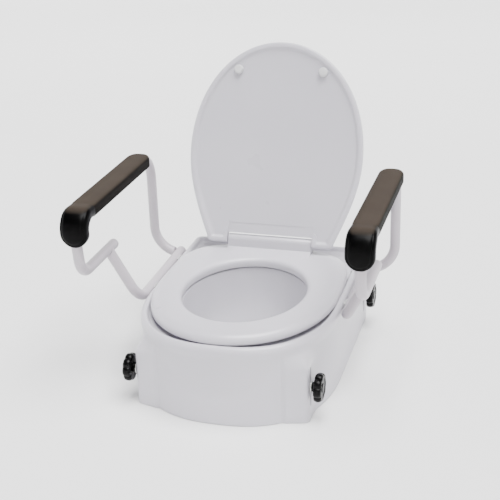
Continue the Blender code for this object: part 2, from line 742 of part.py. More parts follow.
def armrest(side, sx):
    pivot_place = Vector((sx * ARM_PIVOT_X, ARM_REAR_Y, RAIL_Z))
    pivot = make_pivot(f"arm_{side}_axis", pivot_place)
    path = mirror_x(arm_path(), sx)
    arm = tube(f"arm_tube_{side}", path, TUBE_RADIUS)
    clearance = as_cutter(tube(f"arm_clearance_{side}", path, TUBE_RADIUS + TUBE_CLEARANCE), pivot)
    face_low, face_high = sorted((sx * (ARM_PIVOT_X - 0.027), sx * ARM_PIVOT_X))
    face = box(f"arm_pivot_face_{side}", (face_low, ARM_REAR_Y - 0.02, RAIL_Z - 0.02),
               (face_high, ARM_REAR_Y + 0.02, RAIL_Z + 0.02))
    bore = cross_rod(f"arm_pivot_bore_{side}", sx, (0.205, PIVOT_PIN_END + 0.0005), pivot_place,
                     PIVOT_PIN_RADIUS + GAP)
    jog_end = (sx * ARM_X, JOG_END_Y, JOG_Z)
    button_place = Vector((0, BUTTON_Y, JOG_Z))
    button_room = cross_rod(f"button_room_{side}", sx, (ARM_X + 0.004, ARM_X + 0.015), button_place,
                            BUTTON_RADIUS + GAP)
    cut(clearance, face)
    for tool in (face, bore, button_room):
        cut(arm, as_cutter(tool, pivot))
    cut(arm, plug_room(f"arm_mouth_{side}", jog_end, ARM_SPIGOT_LENGTH, pivot))
    finish(arm, "white_coated_steel", pivot)
    tube_plug(f"arm_plug_{side}", jog_end, ARM_SPIGOT_LENGTH, pivot)
    button = cross_rod(f"arm_button_{side}", sx, (ARM_X + 0.0045, ARM_X + TUBE_RADIUS + 0.0008),
                       button_place, BUTTON_RADIUS, 16, BUTTON_RADIUS - 0.0007)
    finish(button, "grey_rubber", pivot)
    arm_pad(side, sx, clearance, pivot)
    arm_cap(side, sx, clearance, pivot)
    return clearance


def arm_pad(side, sx, clearance, pivot):
    outline = [(PAD_HALF_WIDTH, PAD_FRONT), (PAD_HALF_WIDTH, PAD_REAR - PAD_CORNER)]
    for angle in arc_steps(4)[1:]:
        outline.append((PAD_HALF_WIDTH - PAD_CORNER + PAD_CORNER * math.cos(angle),
                        PAD_REAR - PAD_CORNER + PAD_CORNER * math.sin(angle)))
    outline += [(-x, y) for x, y in reversed(outline)]
    pad = prism(f"arm_pad_{side}", outline, PAD_TOP - PAD_UNDER)
    swing(pad, Matrix.Translation((sx * ARM_X, 0, (PAD_TOP + PAD_UNDER) / 2)))
    round_edges(pad, 0.005, 2, 60)
    cut(pad, clearance)
    finish(pad, "armrest_foam", pivot)


def arm_cap(side, sx, clearance, pivot):
    """The nose in front of the pad: it turns down around the tube and ends in a round tip."""
    middle_z = (PAD_TOP + PAD_UNDER) / 2
    pad_half_depth = (PAD_TOP - PAD_UNDER) / 2
    lean = (JOG_FRONT_Y - ARM_FRONT_Y) / (ARM_TOP_Z - JOG_Z)
    tip_y = ARM_FRONT_Y + lean * (ARM_TOP_Z - CAP_TIP_Z)
    bend = rounded_path([(0, PAD_FRONT - GAP, middle_z), (0, ARM_FRONT_Y, middle_z),
                         (0, tip_y, CAP_TIP_Z)], (CAP_BEND,), math.radians(15))
    down = (bend[-1] - bend[-2]).normalized()
    tip_start = bend[-1] - down * CAP_TIP_LENGTH
    stations = bend[:-1]
    sizes = []
    for index in range(len(stations)):
        share = index / (len(stations) - 1)
        sizes.append((PAD_HALF_WIDTH + (CAP_HALF_WIDTH - PAD_HALF_WIDTH) * share,
                      pad_half_depth + (CAP_HALF_DEPTH - pad_half_depth) * share))
    for angle in (0, 25, 45, 62, 76):
        turn = math.radians(angle)
        stations.append(tip_start + down * CAP_TIP_LENGTH * math.sin(turn))
        sizes.append((CAP_HALF_WIDTH * math.cos(turn), CAP_HALF_DEPTH * math.cos(turn) ** 0.35))
    rings = []
    for index, (station, size) in enumerate(zip(stations, sizes)):
        before = stations[max(index - 1, 0)]
        after = stations[min(index + 1, len(stations) - 1)]
        along = (after - before).normalized() if index else Vector((0, -1, 0))
        out = Vector((0, -along.z, along.y))
        rings.append(cap_section(station, out, size, sx))
    cap = loft(f"arm_cap_{side}", rings)
    cut(cap, clearance)
    finish(cap, "black_plastic", pivot)


def cap_section(station, out, size, sx):
    """A rounded rectangle across the nose, size[0] wide each way along X, size[1] deep."""
    ring = []
    sides = 16
    for index in range(sides):
        angle = 2 * math.pi * index / sides
        across = math.copysign(abs(math.cos(angle)) ** 0.62, math.cos(angle)) * size[0]
        deep = math.copysign(abs(math.sin(angle)) ** 0.62, math.sin(angle)) * size[1]
        ring.append(Vector((sx * ARM_X + across, station.y, station.z)) + out * deep)
    return ring


def side_rail(side, sx, arm_clearance):
    path = mirror_x(rail_path(), sx)
    rail = tube(f"side_rail_{side}", path, TUBE_RADIUS)
    clearance = as_cutter(tube(f"rail_clearance_{side}", path, TUBE_RADIUS + TUBE_CLEARANCE), root)
    cut(rail, arm_clearance)
    pivot_place = Vector((0, ARM_REAR_Y, RAIL_Z))
    bore = cross_rod(f"rail_pivot_bore_{side}", sx, (PIVOT_PIN_START - 0.0005, 0.220), pivot_place,
                     PIVOT_PIN_RADIUS + GAP)
    cut(rail, as_cutter(bore, root))
    rear_end = (sx * RAIL_X, RAIL_REAR_Y, RAIL_Z)
    cut(rail, plug_room(f"rail_mouth_{side}", rear_end, RAIL_SPIGOT_LENGTH, root))
    for end, centre_y in SPACER_YS.items():
        screw_room = cross_rod(f"screw_room_{end}_{side}", sx, (0.185, SCREW_END_X + 0.0005),
                               Vector((0, centre_y, SCREW_Z)), SCREW_RADIUS + GAP, 12)
        cut(rail, as_cutter(screw_room, root))
        rail_spacer(f"{end}_{side}", sx, centre_y, clearance)
    finish(rail, "white_coated_steel", root)
    tube_plug(f"rail_plug_{side}", rear_end, RAIL_SPIGOT_LENGTH, root)
    pin = cross_rod(f"arm_pivot_pin_{side}", sx, (PIVOT_PIN_START, PIVOT_PIN_END), pivot_place,
                    PIVOT_PIN_RADIUS)
    finish(pin, "zinc_steel", root)


def rail_spacer(label, sx, centre_y, clearance):
    """The block between the bead and the rail, and the screw that holds the rail to the bead."""
    near, far = sorted((sx * (BASE_HALF_WIDTH + GAP), sx * (RAIL_FRONT_X - 0.004)))
    spacer = box(f"rail_spacer_{label}",
                 (near, centre_y - SPACER_HALF_LENGTH, RAIL_Z - SPACER_HALF_HEIGHT),
                 (far, centre_y + SPACER_HALF_LENGTH, RAIL_Z + SPACER_HALF_HEIGHT))
    place = Vector((0, centre_y, SCREW_Z))
    hole = cross_rod(f"spacer_hole_{label}", sx, (0.180, 0.205), place, SCREW_RADIUS + GAP, 12)
    cut(spacer, clearance)
    cut(spacer, as_cutter(hole, root))
    finish(spacer, "white_end_plug", root)

    screw = cross_rod(f"rail_screw_{label}", sx, (SCREW_SEAT_X - 0.001, SCREW_END_X), place,
                      SCREW_RADIUS, 12)
    head = cross_rod(f"screw_head_{label}", sx, (SCREW_HEAD_X, SCREW_SEAT_X), place,
                     SCREW_HEAD_RADIUS - 0.0008, 12, SCREW_HEAD_RADIUS)
    join(screw, as_cutter(head, root))
    finish(screw, "zinc_steel", root)


# ---------------------------------------------------------------- height brackets and knobs

def height_bracket(end, side, sx):
    """An L-shaped foot behind the wall, with a welded nut, and the rubber under it."""
    label = f"{end}_{side}"
    centre_y, face = KNOB_SEATS[end]
    middle_y, foot_x = BRACKET_MIDDLES[end], BRACKET_FOOT_X[end]
    stud_place = Vector((sx * face, centre_y, STUD_Z))
    slide = make_pivot(f"bracket_{label}_slide", stud_place)
    leg = face - BRACKET_LEG_IN
    outline = [(leg, BRACKET_BOTTOM), (leg, FOOT_Z + PLATE), (foot_x, FOOT_Z + PLATE),
               (foot_x, FOOT_Z), (leg - PLATE, FOOT_Z), (leg - PLATE, BRACKET_BOTTOM)]
    bracket = prism(f"height_bracket_{label}", [(sx * x, z) for x, z in outline],
                    2 * BRACKET_HALF_WIDTH)
    stand = Matrix.Translation((0, middle_y, 0)) @ Matrix.Rotation(math.radians(90), 4, "X")
    swing(bracket, stand)
    nut = cross_rod(f"bracket_nut_{label}", sx, (leg - 0.009, leg - 0.002), stud_place,
                    BRACKET_NUT_RADIUS, 6)
    bore = cross_rod(f"bracket_bore_{label}", sx, (leg - 0.015, leg + 0.005), stud_place,
                     STUD_RADIUS + GAP)
    join(bracket, as_cutter(nut, slide))
    cut(bracket, as_cutter(bore, slide))
    finish(bracket, "zinc_steel", slide)

    ends = sorted((sx * (foot_x + 0.004), sx * (leg - 0.014)))
    pad = box(f"bracket_pad_{label}", (ends[0], middle_y - BRACKET_HALF_WIDTH + 0.003, FOOT_Z - 0.004),
              (ends[1], middle_y + BRACKET_HALF_WIDTH - 0.003, FOOT_Z - GAP))
    finish(pad, "grey_rubber", slide)
    knob_set(label, sx, stud_place, slide)


def lobed_ring(x, place, scale):
    ring = []
    sides = KNOB_LOBES * 5
    for index in range(sides):
        angle = 2 * math.pi * index / sides
        radius = (KNOB_RADIUS + KNOB_LOBE * math.cos(KNOB_LOBES * angle)) * scale
        ring.append(Vector((x, place.y + radius * math.cos(angle),
                            place.z + radius * math.sin(angle))))
    return ring


def knob_set(label, sx, stud_place, slide):
    """The lobed knob, its threaded stud and its washer, which turn together about X."""
    face = abs(stud_place.x)
    washer_x = face + 0.0010
    hub_x = washer_x + WASHER_THICKNESS + GAP
    lobes_x = hub_x + HUB_LENGTH
    outer_x = lobes_x + KNOB_THICKNESS
    stud_end = lobes_x + KNOB_THICKNESS / 2
    axis = make_pivot(f"knob_{label}_axis", (sx * outer_x, stud_place.y, stud_place.z), slide)

    levels = [(lobes_x, 0.88), (lobes_x + 0.002, 1.0), (outer_x - 0.003, 1.0), (outer_x, 0.84)]
    knob = loft(f"knob_{label}", [lobed_ring(sx * x, stud_place, scale) for x, scale in levels])
    hub = cross_rod(f"knob_hub_{label}", sx, (hub_x, lobes_x + 0.001), stud_place, HUB_RADIUS)
    bore = cross_rod(f"knob_bore_{label}", sx, (hub_x - 0.002, stud_end + 0.0005), stud_place,
                     STUD_RADIUS + GAP)
    join(knob, as_cutter(hub, axis))
    cut(knob, as_cutter(bore, axis))
    finish(knob, "black_plastic", axis)

    stud = cross_rod(f"knob_stud_{label}", sx, (face - 0.016, stud_end), stud_place, STUD_RADIUS)
    finish(stud, "zinc_steel", axis)
    washer = cross_rod(f"knob_washer_{label}", sx, (washer_x, washer_x + WASHER_THICKNESS),
                       stud_place, WASHER_RADIUS, 20)
    hole = cross_rod(f"washer_hole_{label}", sx, (washer_x - 0.002, washer_x + 0.004), stud_place,
                     STUD_RADIUS + GAP)
    cut(washer, as_cutter(hole, axis))
    finish(washer, "zinc_steel", axis)


# ---------------------------------------------------------------- assembly

clear_scene()
parts = new_collection("raised_toilet_seat")
cutters = new_collection("cutters")
materials = {name: make_material(name, *values) for name, values in COLOURS.items()}

pivot_places = {}
root = make_empty("root", (0, HINGE_LINE_Y, 0))
pivot_places[root.name] = Vector((0, 0, 0))


def make_pivot(name, place, parent=None, tilt=0.0):
    """An empty on a joint's axis, at a place measured from the hinge line and the floor."""
    parent = parent or root
    pivot = make_empty(name, Vector(place) - pivot_places[parent.name], parent, tilt)
    pivot_places[pivot.name] = Vector(place)
    return pivot


seat_pivot = make_pivot("seat_axis", (0, 0, HINGE_Z))
lid_pivot = make_pivot("lid_axis", (0, 0, HINGE_Z), tilt=-LID_OPEN_ANGLE)

base_shell()
seat_ring()
seat_buffers()
lid()
for side, sx in SIDES.items():
    hinge_hardware(side, sx)
    arm_clearance = armrest(side, sx)
    side_rail(side, sx, arm_clearance)
    for end in KNOB_SEATS:
        height_bracket(end, side, sx)
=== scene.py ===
"""The looks of a raised toilet seat with a hinged seat ring, a lid and two fold-up armrests.

Shapes are drawn in metres. Their Y is measured from the hinge line of the seat and the lid, which
is found in the frame, and +X is on the right as seen from the front.
"""

import json
import math

import bmesh
import bpy
import numpy as np
from mathutils import Matrix, Vector


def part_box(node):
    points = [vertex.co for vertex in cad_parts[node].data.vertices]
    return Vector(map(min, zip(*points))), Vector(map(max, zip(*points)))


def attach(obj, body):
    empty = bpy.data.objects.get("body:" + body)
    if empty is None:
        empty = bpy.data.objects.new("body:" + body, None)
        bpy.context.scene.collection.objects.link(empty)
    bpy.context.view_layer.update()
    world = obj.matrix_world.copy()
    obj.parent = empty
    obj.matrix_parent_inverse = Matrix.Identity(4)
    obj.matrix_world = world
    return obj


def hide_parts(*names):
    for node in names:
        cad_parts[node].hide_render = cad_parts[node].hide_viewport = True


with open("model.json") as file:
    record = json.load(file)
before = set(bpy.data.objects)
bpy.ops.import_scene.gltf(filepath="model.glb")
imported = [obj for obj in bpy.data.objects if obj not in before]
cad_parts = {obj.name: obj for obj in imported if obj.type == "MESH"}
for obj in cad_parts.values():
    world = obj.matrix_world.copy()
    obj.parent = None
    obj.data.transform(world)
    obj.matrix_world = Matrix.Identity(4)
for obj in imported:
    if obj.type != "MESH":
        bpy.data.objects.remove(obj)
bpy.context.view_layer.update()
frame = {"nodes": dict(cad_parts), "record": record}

SIDES = {"right": 1, "left": -1}
ENDS = ("front", "rear")


def middle(node):
    low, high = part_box(node)
    return (low + high) / 2


HINGE = middle("hinge_pin_right")
HINGE_Y = HINGE.y
HINGE_Z = HINGE.z
LID_OPEN = math.radians(111)

# Base shell
BASE_HALF_WIDTH = 0.190
BASE_FRONT = -0.413
BASE_REAR = 0.090
BASE_WIDEST_Y = -0.190
BASE_FRONT_POWER = 2.45
BASE_CORNER = 0.014
WALL = 0.0037
WALL_INSET = 0.0030
WALL_TOP = 0.130
DECK_Z = 0.147
DECK_UNDER = 0.1437
FUNNEL_BOTTOM = 0.034
OPENING_HALF_WIDTH = 0.119
OPENING_HALF_LENGTH = 0.1425
OPENING_Y = -0.1905
BOSS_SIDE = 0.165
BOSS_FRONT = -0.3690
BOSS_FRONT_SLOPE = 0.255
BOSS_FACE_TOP = 0.110
BOSS_TOP = 0.137
BOSS_INNER = 0.118
BOSS_SETBACK = 0.020            # how far a boss sinks into the wall past its inner edge
THINNED = 0.0012                # above THINNED_FROM the wall is this much thinner, all round
THINNED_FROM = 0.102
RECESS_HALF_WIDTH = 0.104
RECESS_HALF_HEIGHT = 0.092
RECESS_Z = 0.142
RECESS_DEPTH = 0.0052
RECESS_POWER = 2.4
RECESS_SWEEP = 0.206            # radius that turns an angle on the front wall into a width
REAR_SLOT_FACE = BASE_HALF_WIDTH - 0.0027
SLOT_HALF_WIDTH = 0.0045
SLOT_HALF_LENGTH = 0.035
SLOT_Z = 0.067
REAR_CUT_HALF_WIDTH = 0.130
REAR_CUT_HEIGHT = 0.100

# Seat ring
SEAT_TOP = 0.175
SEAT_UNDER = 0.158
SEAT_HALF_WIDTH = 0.179
SEAT_FRONT = -0.400
SEAT_WIDEST_Y = -0.178
SEAT_REAR = 0.022
SEAT_FRONT_POWER = 2.1
SEAT_REAR_POWER = 4.0
SEAT_HOLLOW_TOP = 0.168
SADDLE_RISE = 0.0055
HOLE_HALF_WIDTH = 0.118
HOLE_HALF_LENGTH = 0.142
HOLE_Y = -0.195
BARREL_RADIUS = 0.0105
BARREL_HALF_LENGTH = 0.088
POST_X = 0.072
POST_HALF_WIDTH = 0.005
POST_HEAD_RADIUS = 0.0065
POST_STUD_Y = 0.0115
STUD_BORE = 0.0043
PIN_BORE = 0.0028

# Lid
LID_LENGTH = 0.407
LID_HALF_WIDTH = 0.182
LID_WIDEST = 0.180
LID_HEEL_HALF_WIDTH = 0.134
LID_HEEL = 0.0082
LID_POWER = 2.05
LID_NOTCH = 0.0128
KNUCKLE_INNER_X = 0.0895
LID_RIM_Z = -0.014
LID_PANEL_Z = -0.009
LID_BACK_Z = -0.001
LID_CROWN = 0.0055
LID_CORNER = 0.011
LID_BUFFER_PLACE = (0.0888, -0.349)

# Armrests
TUBE_RADIUS = 0.010
TUBE_CLEARANCE = 0.0003
TUBE_WALL = 0.0015
PLUG_BORE = 0.0073
PIVOT_BORE = 0.0043
ARM_X = middle("arm_pad_right").x
PAD_LOW, PAD_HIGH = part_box("arm_pad_right")
PAD_FRONT = PAD_LOW.y - HINGE_Y
PAD_REAR = PAD_HIGH.y - HINGE_Y
ARM_REAR_Y = 0.010
ARM_TOP_Z = 0.366
ARM_FRONT_Y = -0.381
JOG_FRONT_Y = -0.366
JOG_Z = 0.252
JOG_END_Y = -0.212
ARM_BENDS = (0.056, 0.055, 0.028, 0.036)
PAD_HALF_WIDTH = 0.024
PAD_CORNER = 0.022
CAP_HALF_WIDTH = 0.0262
CAP_TIP_Z = 0.3135
CAP_TIP_LENGTH = 0.0245
CAP_BEND = 0.026
RAIL_X = 0.203
RAIL_Z = 0.147
RAIL_REAR_Y = 0.018
RAIL_FRONT_X = 0.2015
RAIL_BEND_Y = -0.2335
RAIL_TOP_Y = -0.240
RAIL_BEND = 0.034

# Knobs
KNOB_RADIUS = 0.0255
KNOB_LOBE = 0.0015
HUB_LENGTH = 0.0055

# Floor and the low wall around it
FLOOR_Z = -0.0006
FLOOR_RADIUS = 5.0
COVE_RADIUS = 1.2
WALL_HEIGHT = 2.9

# Photograph's camera
CAMERA_TARGET = Vector((0.0594, HINGE_Y - 0.3522, 0.3229))
CAMERA_DISTANCE = 1.9459
CAMERA_AZIMUTH = math.radians(16.41)
CAMERA_ELEVATION = math.radians(22.73)
CAMERA_ROLL = math.radians(-1.90)
CAMERA_LENS = 80.98


# ---------------------------------------------------------------- materials

class Shader:
    """A Principled material and short ways to wire procedural detail into it."""

    def __init__(self, name, **values):
        self.material = bpy.data.materials.new(name)
        self.material.use_nodes = True
        self.nodes = self.material.node_tree.nodes
        self.links = self.material.node_tree.links
        self.shader = self.nodes["Principled BSDF"]
        for socket, value in values.items():
            self.shader.inputs[socket.replace("_", " ")].default_value = value
        self.place = self.nodes.new("ShaderNodeTexCoord").outputs["Object"]

    def noise(self, scale, detail=3.0, roughness=0.5):
        node = self.nodes.new("ShaderNodeTexNoise")
        node.inputs["Scale"].default_value = scale
        node.inputs["Detail"].default_value = detail
        node.inputs["Roughness"].default_value = roughness
        self.links.new(self.place, node.inputs["Vector"])
        return node.outputs["Fac"]

    def cells(self, scale):
        node = self.nodes.new("ShaderNodeTexVoronoi")
        node.inputs["Scale"].default_value = scale
        self.links.new(self.place, node.inputs["Vector"])
        return node.outputs["Distance"]

    def ramp(self, source, low, high, start=0.35, end=0.65):
        node = self.nodes.new("ShaderNodeValToRGB")
        node.color_ramp.elements[0].position = start
        node.color_ramp.elements[1].position = end
        node.color_ramp.elements[0].color = low
        node.color_ramp.elements[1].color = high
        self.links.new(source, node.inputs["Fac"])
        return node.outputs["Color"]

    def remap(self, source, low, high):
        node = self.nodes.new("ShaderNodeMapRange")
        node.inputs["To Min"].default_value = low
        node.inputs["To Max"].default_value = high
        self.links.new(source, node.inputs["Value"])
        return node.outputs["Result"]

    def upward(self, low, high, start, end):
        """A colour that changes from low to high as a face of the piece turns to look up."""
        parts = self.nodes.new("ShaderNodeSeparateXYZ")
        facing = self.nodes.new("ShaderNodeTexCoord").outputs["Normal"]
        self.links.new(facing, parts.inputs["Vector"])
        return self.ramp(parts.outputs["Z"], low, high, start, end)

    def speckle(self, source, scale, low, high):
        """The colour, unevenly darkened by a fine noise."""
        node = self.nodes.new("ShaderNodeMix")
        node.data_type = "RGBA"
        node.blend_type = "MULTIPLY"
        node.inputs["Factor"].default_value = 1.0
        self.links.new(source, node.inputs["A"])
        self.links.new(self.ramp(self.noise(scale), grey(low), grey(high)), node.inputs["B"])
        return node.outputs["Result"]

    def feed(self, socket, source):
        self.links.new(source, self.shader.inputs[socket])

    def bump(self, source, height, strength=1.0, normal=None):
        node = self.nodes.new("ShaderNodeBump")
        node.inputs["Strength"].default_value = strength
        node.inputs["Distance"].default_value = height
        self.links.new(source, node.inputs["Height"])
        if normal:
            self.links.new(normal, node.inputs["Normal"])
        self.feed("Normal", node.outputs["Normal"])
        return node.outputs["Normal"]


def grey(value, red=0.0, green=0.0, blue=0.0):
    return (value + red, value + green, value + blue, 1.0)


def white_plastic():
    """Moulded gloss white: a faint orange peel and slightly uneven gloss."""
    look = Shader("white_gloss_plastic", Specular_IOR_Level=0.5, Coat_Weight=0.15,
                  Coat_Roughness=0.12, Subsurface_Weight=0.35, Subsurface_Radius=(1.0, 1.0, 1.1),
                  Subsurface_Scale=0.007)
    look.feed("Base Color", look.ramp(look.noise(3.0), grey(0.535, 0.004, -0.012, 0.038),
                                      grey(0.560, 0.004, -0.012, 0.034)))
    look.feed("Roughness", look.remap(look.noise(14.0), 0.24, 0.36))
    look.bump(look.noise(420.0, 2.0), 0.00002, 0.35)
    return look.material


def coated_steel():
    """White powder coat on steel tube, a little pink, with its fine pebbled skin."""
    look = Shader("white_powder_coat", Specular_IOR_Level=0.5)
    look.feed("Base Color", look.ramp(look.noise(6.0), grey(0.440, 0.024, -0.018, 0.024),
                                      grey(0.465, 0.022, -0.016, 0.022)))
    look.feed("Roughness", look.remap(look.noise(30.0), 0.30, 0.44))
    look.bump(look.noise(900.0, 2.0), 0.00004, 0.5)
    return look.material


def satin_plug():
    look = Shader("white_plug_plastic")
    look.feed("Base Color", look.ramp(look.noise(20.0), grey(0.50), grey(0.54)))
    look.feed("Roughness", look.remap(look.noise(60.0), 0.38, 0.52))
    look.bump(look.noise(700.0, 2.0), 0.00003, 0.4)
    return look.material


def rubber():
    look = Shader("pale_rubber")
    look.feed("Base Color", look.ramp(look.noise(40.0), grey(0.56, blue=0.01),
                                      grey(0.62, blue=0.01)))
    look.feed("Roughness", look.remap(look.noise(90.0), 0.55, 0.75))
    look.bump(look.noise(1200.0, 3.0), 0.00006, 0.5)
    return look.material


# Painted sheen: the brown given to the armrests' upward faces in place of the light they reflect.
TOP_SHEEN_BROWN = (0.043, 0.0335, 0.0265, 1.0)


def armrest_skin():
    """Moulded foam skin: near black and finely grained, with a painted brown sheen where it faces
    up.
    """
    look = Shader("armrest_skin", Specular_IOR_Level=0.10, IOR=1.3)
    # Painted sheen: faces that look up are coloured brown, while the sides stay near black.
    top_sheen_tone = look.upward((0.0085, 0.0070, 0.0060, 1.0), TOP_SHEEN_BROWN, 0.45, 1.0)
    look.feed("Base Color", look.speckle(top_sheen_tone, 9.0, 0.85, 1.0))
    look.feed("Roughness", look.remap(look.noise(25.0), 0.58, 0.70))
    soft = look.bump(look.noise(160.0, 4.0), 0.0002, 0.25)
    look.bump(look.cells(1500.0), 0.00006, 0.35, soft)
    return look.material


def nose_skin():
    """The nose's black gloss, which turns rougher where it faces up and there takes the pad's
    painted brown sheen.
    """
    look = Shader("armrest_nose_gloss", Specular_IOR_Level=0.10, IOR=1.35)
    # Painted sheen: the nose's colour turns brown where it faces up.
    top_sheen_tone = look.upward((0.0010, 0.0010, 0.0011, 1.0), TOP_SHEEN_BROWN, 0.80, 0.995)
    look.feed("Base Color", look.speckle(top_sheen_tone, 12.0, 0.85, 1.0))
    dulled = look.upward(grey(0.32), grey(0.70), 0.80, 0.97)
    look.feed("Roughness", look.speckle(dulled, 35.0, 0.88, 1.0))
    look.bump(look.noise(500.0, 2.0), 0.00002, 0.3)
    return look.material


def black_gloss():
    look = Shader("black_gloss_plastic", Specular_IOR_Level=0.12)
    look.feed("Base Color", look.ramp(look.noise(12.0), grey(0.0010), grey(0.0020)))
    look.feed("Roughness", look.remap(look.noise(35.0), 0.22, 0.34))
    look.bump(look.noise(500.0, 2.0), 0.00002, 0.3)
    return look.material


def zinc_steel():
    look = Shader("zinc_plated_steel", Metallic=1.0)
    look.feed("Base Color", look.ramp(look.cells(180.0), (0.50, 0.50, 0.49, 1.0),
                                      (0.66, 0.66, 0.64, 1.0)))
    look.feed("Roughness", look.remap(look.noise(120.0), 0.28, 0.46))
    look.bump(look.noise(900.0, 3.0), 0.00002, 0.4)
    return look.material


LOOKS = {
    "white_plastic": white_plastic(),
    "white_coated_steel": coated_steel(),
    "white_end_plug": satin_plug(),
    "grey_rubber": rubber(),
    "armrest_foam": armrest_skin(),
    "black_plastic": black_gloss(),
    "zinc_steel": zinc_steel(),
}
NOSE_LOOK = nose_skin()


# ---------------------------------------------------------------- mesh helpers

def piece(name, points, faces):
    """A mesh object from points measured from the hinge line."""
    mesh = bpy.data.meshes.new(name)
    mesh.from_pydata([(x, y + HINGE_Y, z) for x, y, z in points], [], faces)
    shape = bmesh.new()
    shape.from_mesh(mesh)
    bmesh.ops.recalc_face_normals(shape, faces=shape.faces)
    shape.to_mesh(mesh)
    shape.free()
    item = bpy.data.objects.new(name, mesh)
    bpy.context.scene.collection.objects.link(item)
    return item


def skin(name, rings, wrap=False):
    """Skin a row of closed rings with equal counts; wrap joins the last ring to the first."""
    count = len(rings[0])
    points = [tuple(point) for ring in rings for point in ring]
    faces = []
    rows = len(rings) if wrap else len(rings) - 1
    for row in range(rows):
        low, high = row * count, (row + 1) % len(rings) * count
        for here in range(count):
            there = (here + 1) % count
            faces.append((low + here, low + there, high + there, high + here))
    if not wrap:
        faces.append(tuple(range(count)))
        faces.append(tuple(range((len(rings) - 1) * count, len(rings) * count)))
    return piece(name, points, faces)


def settle(item):
    """Apply an object's modifiers to its mesh."""
    graph = bpy.context.evaluated_depsgraph_get()
    mesh = bpy.data.meshes.new_from_object(item.evaluated_get(graph))
    item.modifiers.clear()
    item.data = mesh
    return item


def combine(target, tools, operation):
    for tool in tools:
        modifier = target.modifiers.new(tool.name, "BOOLEAN")
        modifier.operation = operation
        modifier.solver = "EXACT"
        modifier.object = tool
    settle(target)
    for tool in tools:
        bpy.data.objects.remove(tool)
    return target


def carve(target, *tools):
    return combine(target, tools, "DIFFERENCE")


def weld(target, *tools):
    return combine(target, tools, "UNION")


def soften(item, width, segments=3, angle=30):
    bevel = item.modifiers.new("soft_edges", "BEVEL")
    bevel.width = width
    bevel.segments = segments
    bevel.limit_method = "ANGLE"
    bevel.angle_limit = math.radians(angle)
    bevel.harden_normals = False
    return settle(item)


def show(item, slot, body, *nodes, sharp=38, look=None):
    """Finish a piece: its material, smooth shading, its body and the CAD nodes it stands for."""
    item.data.materials.clear()
    item.data.materials.append(look or LOOKS[slot])
    item.data.shade_smooth()
    item.data.set_sharp_from_angle(angle=math.radians(sharp))
    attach(item, body)
    if nodes:
        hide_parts(*nodes)
    return item


def smooth_row(points, steps=6):
    """Catmull-Rom points through a short row of 2D or 3D points."""
    knots = [np.array(point, float) for point in points]
    knots = [2 * knots[0] - knots[1]] + knots + [2 * knots[-1] - knots[-2]]
    row = []
    for a, b, c, d in zip(knots, knots[1:], knots[2:], knots[3:]):
        for step in range(steps):
            t = step / steps
            row.append(0.5 * (2 * b + (c - a) * t + (2 * a - 5 * b + 4 * c - d) * t ** 2
                              + (3 * b - a - 3 * c + d) * t ** 3))
    row.append(knots[-2])
    return row


def smooth_step(value, start, end):
    share = np.clip((value - start) / (end - start), 0.0, 1.0)
    return share * share * (3 - 2 * share)


def blend_min(a, b, reach):
    overlap = np.clip(reach - np.abs(a - b), 0.0, None) / reach
    return np.minimum(a, b) - overlap ** 2 * reach / 4


def blend_max(a, b, reach):
    return -blend_min(-a, -b, reach)


def turned(name, profile, centre, axis, sides=48):
    """A lathed piece: profile is a row of (radius, along) and axis the way that along grows."""
    axis = Vector(axis).normalized()
    turn = Vector((0, 0, 1)).rotation_difference(axis).to_matrix()
    rings = []
    for radius, along in profile:
        ring = []
        for index in range(sides):
            angle = 2 * math.pi * index / sides
            point = Vector((radius * math.cos(angle), radius * math.sin(angle), along))
            ring.append(Vector(centre) + turn @ point)
        rings.append(ring)
    return skin(name, rings)


def bore(name, radius, start, end, centre, axis):
    """A plain round tool along the axis, from start to end past the centre."""
    return turned(name, [(radius, start), (radius, end)], centre, axis, 24)


def box_piece(name, low, high):
    corners = [(x, y, z) for x in (low[0], high[0]) for y in (low[1], high[1])
               for z in (low[2], high[2])]
    faces = [(0, 1, 3, 2), (4, 6, 7, 5), (0, 4, 5, 1), (2, 3, 7, 6), (0, 2, 6, 4), (1, 5, 7, 3)]
    return piece(name, corners, faces)


def rounded_path(corners, radii, step=math.radians(5)):
    """Points along straight runs whose inner corners are arcs of the given radii."""
    corners = [Vector(corner) for corner in corners]
    points = [corners[0]]
    for before, corner, after, radius in zip(corners, corners[1:], corners[2:], radii):
        back = (before - corner).normalized()
        ahead = (after - corner).normalized()
        half = back.angle(ahead) / 2
        centre = corner + (back + ahead).normalized() * radius / math.sin(half)
        first = (corner + back * radius / math.tan(half) - centre).normalized()
        last = (corner + ahead * radius / math.tan(half) - centre).normalized()
        count = max(2, round(first.angle(last) / step))
        for index in range(count + 1):
            points.append(centre + first.slerp(last, index / count) * radius)
    points.append(corners[-1])
    return points


def tube(name, path, radius, sides=40):
    """A round bar swept along a path with a frame that doesn't twist."""
    path = [Vector(point) for point in path]
    normal = None
    rings = []
    for index, point in enumerate(path):
        before = path[max(index - 1, 0)]
        after = path[min(index + 1, len(path) - 1)]
        along = ((point - before).normalized() + (after - point).normalized()).normalized()
        if normal is None:
            normal = along.orthogonal().normalized()
        normal = (normal - along * normal.dot(along)).normalized()
        side = along.cross(normal)
        rings.append([point + (normal * math.cos(2 * math.pi * k / sides)
                               + side * math.sin(2 * math.pi * k / sides)) * radius
                      for k in range(sides)])
    return skin(name, rings)


# ---------------------------------------------------------------- base shell

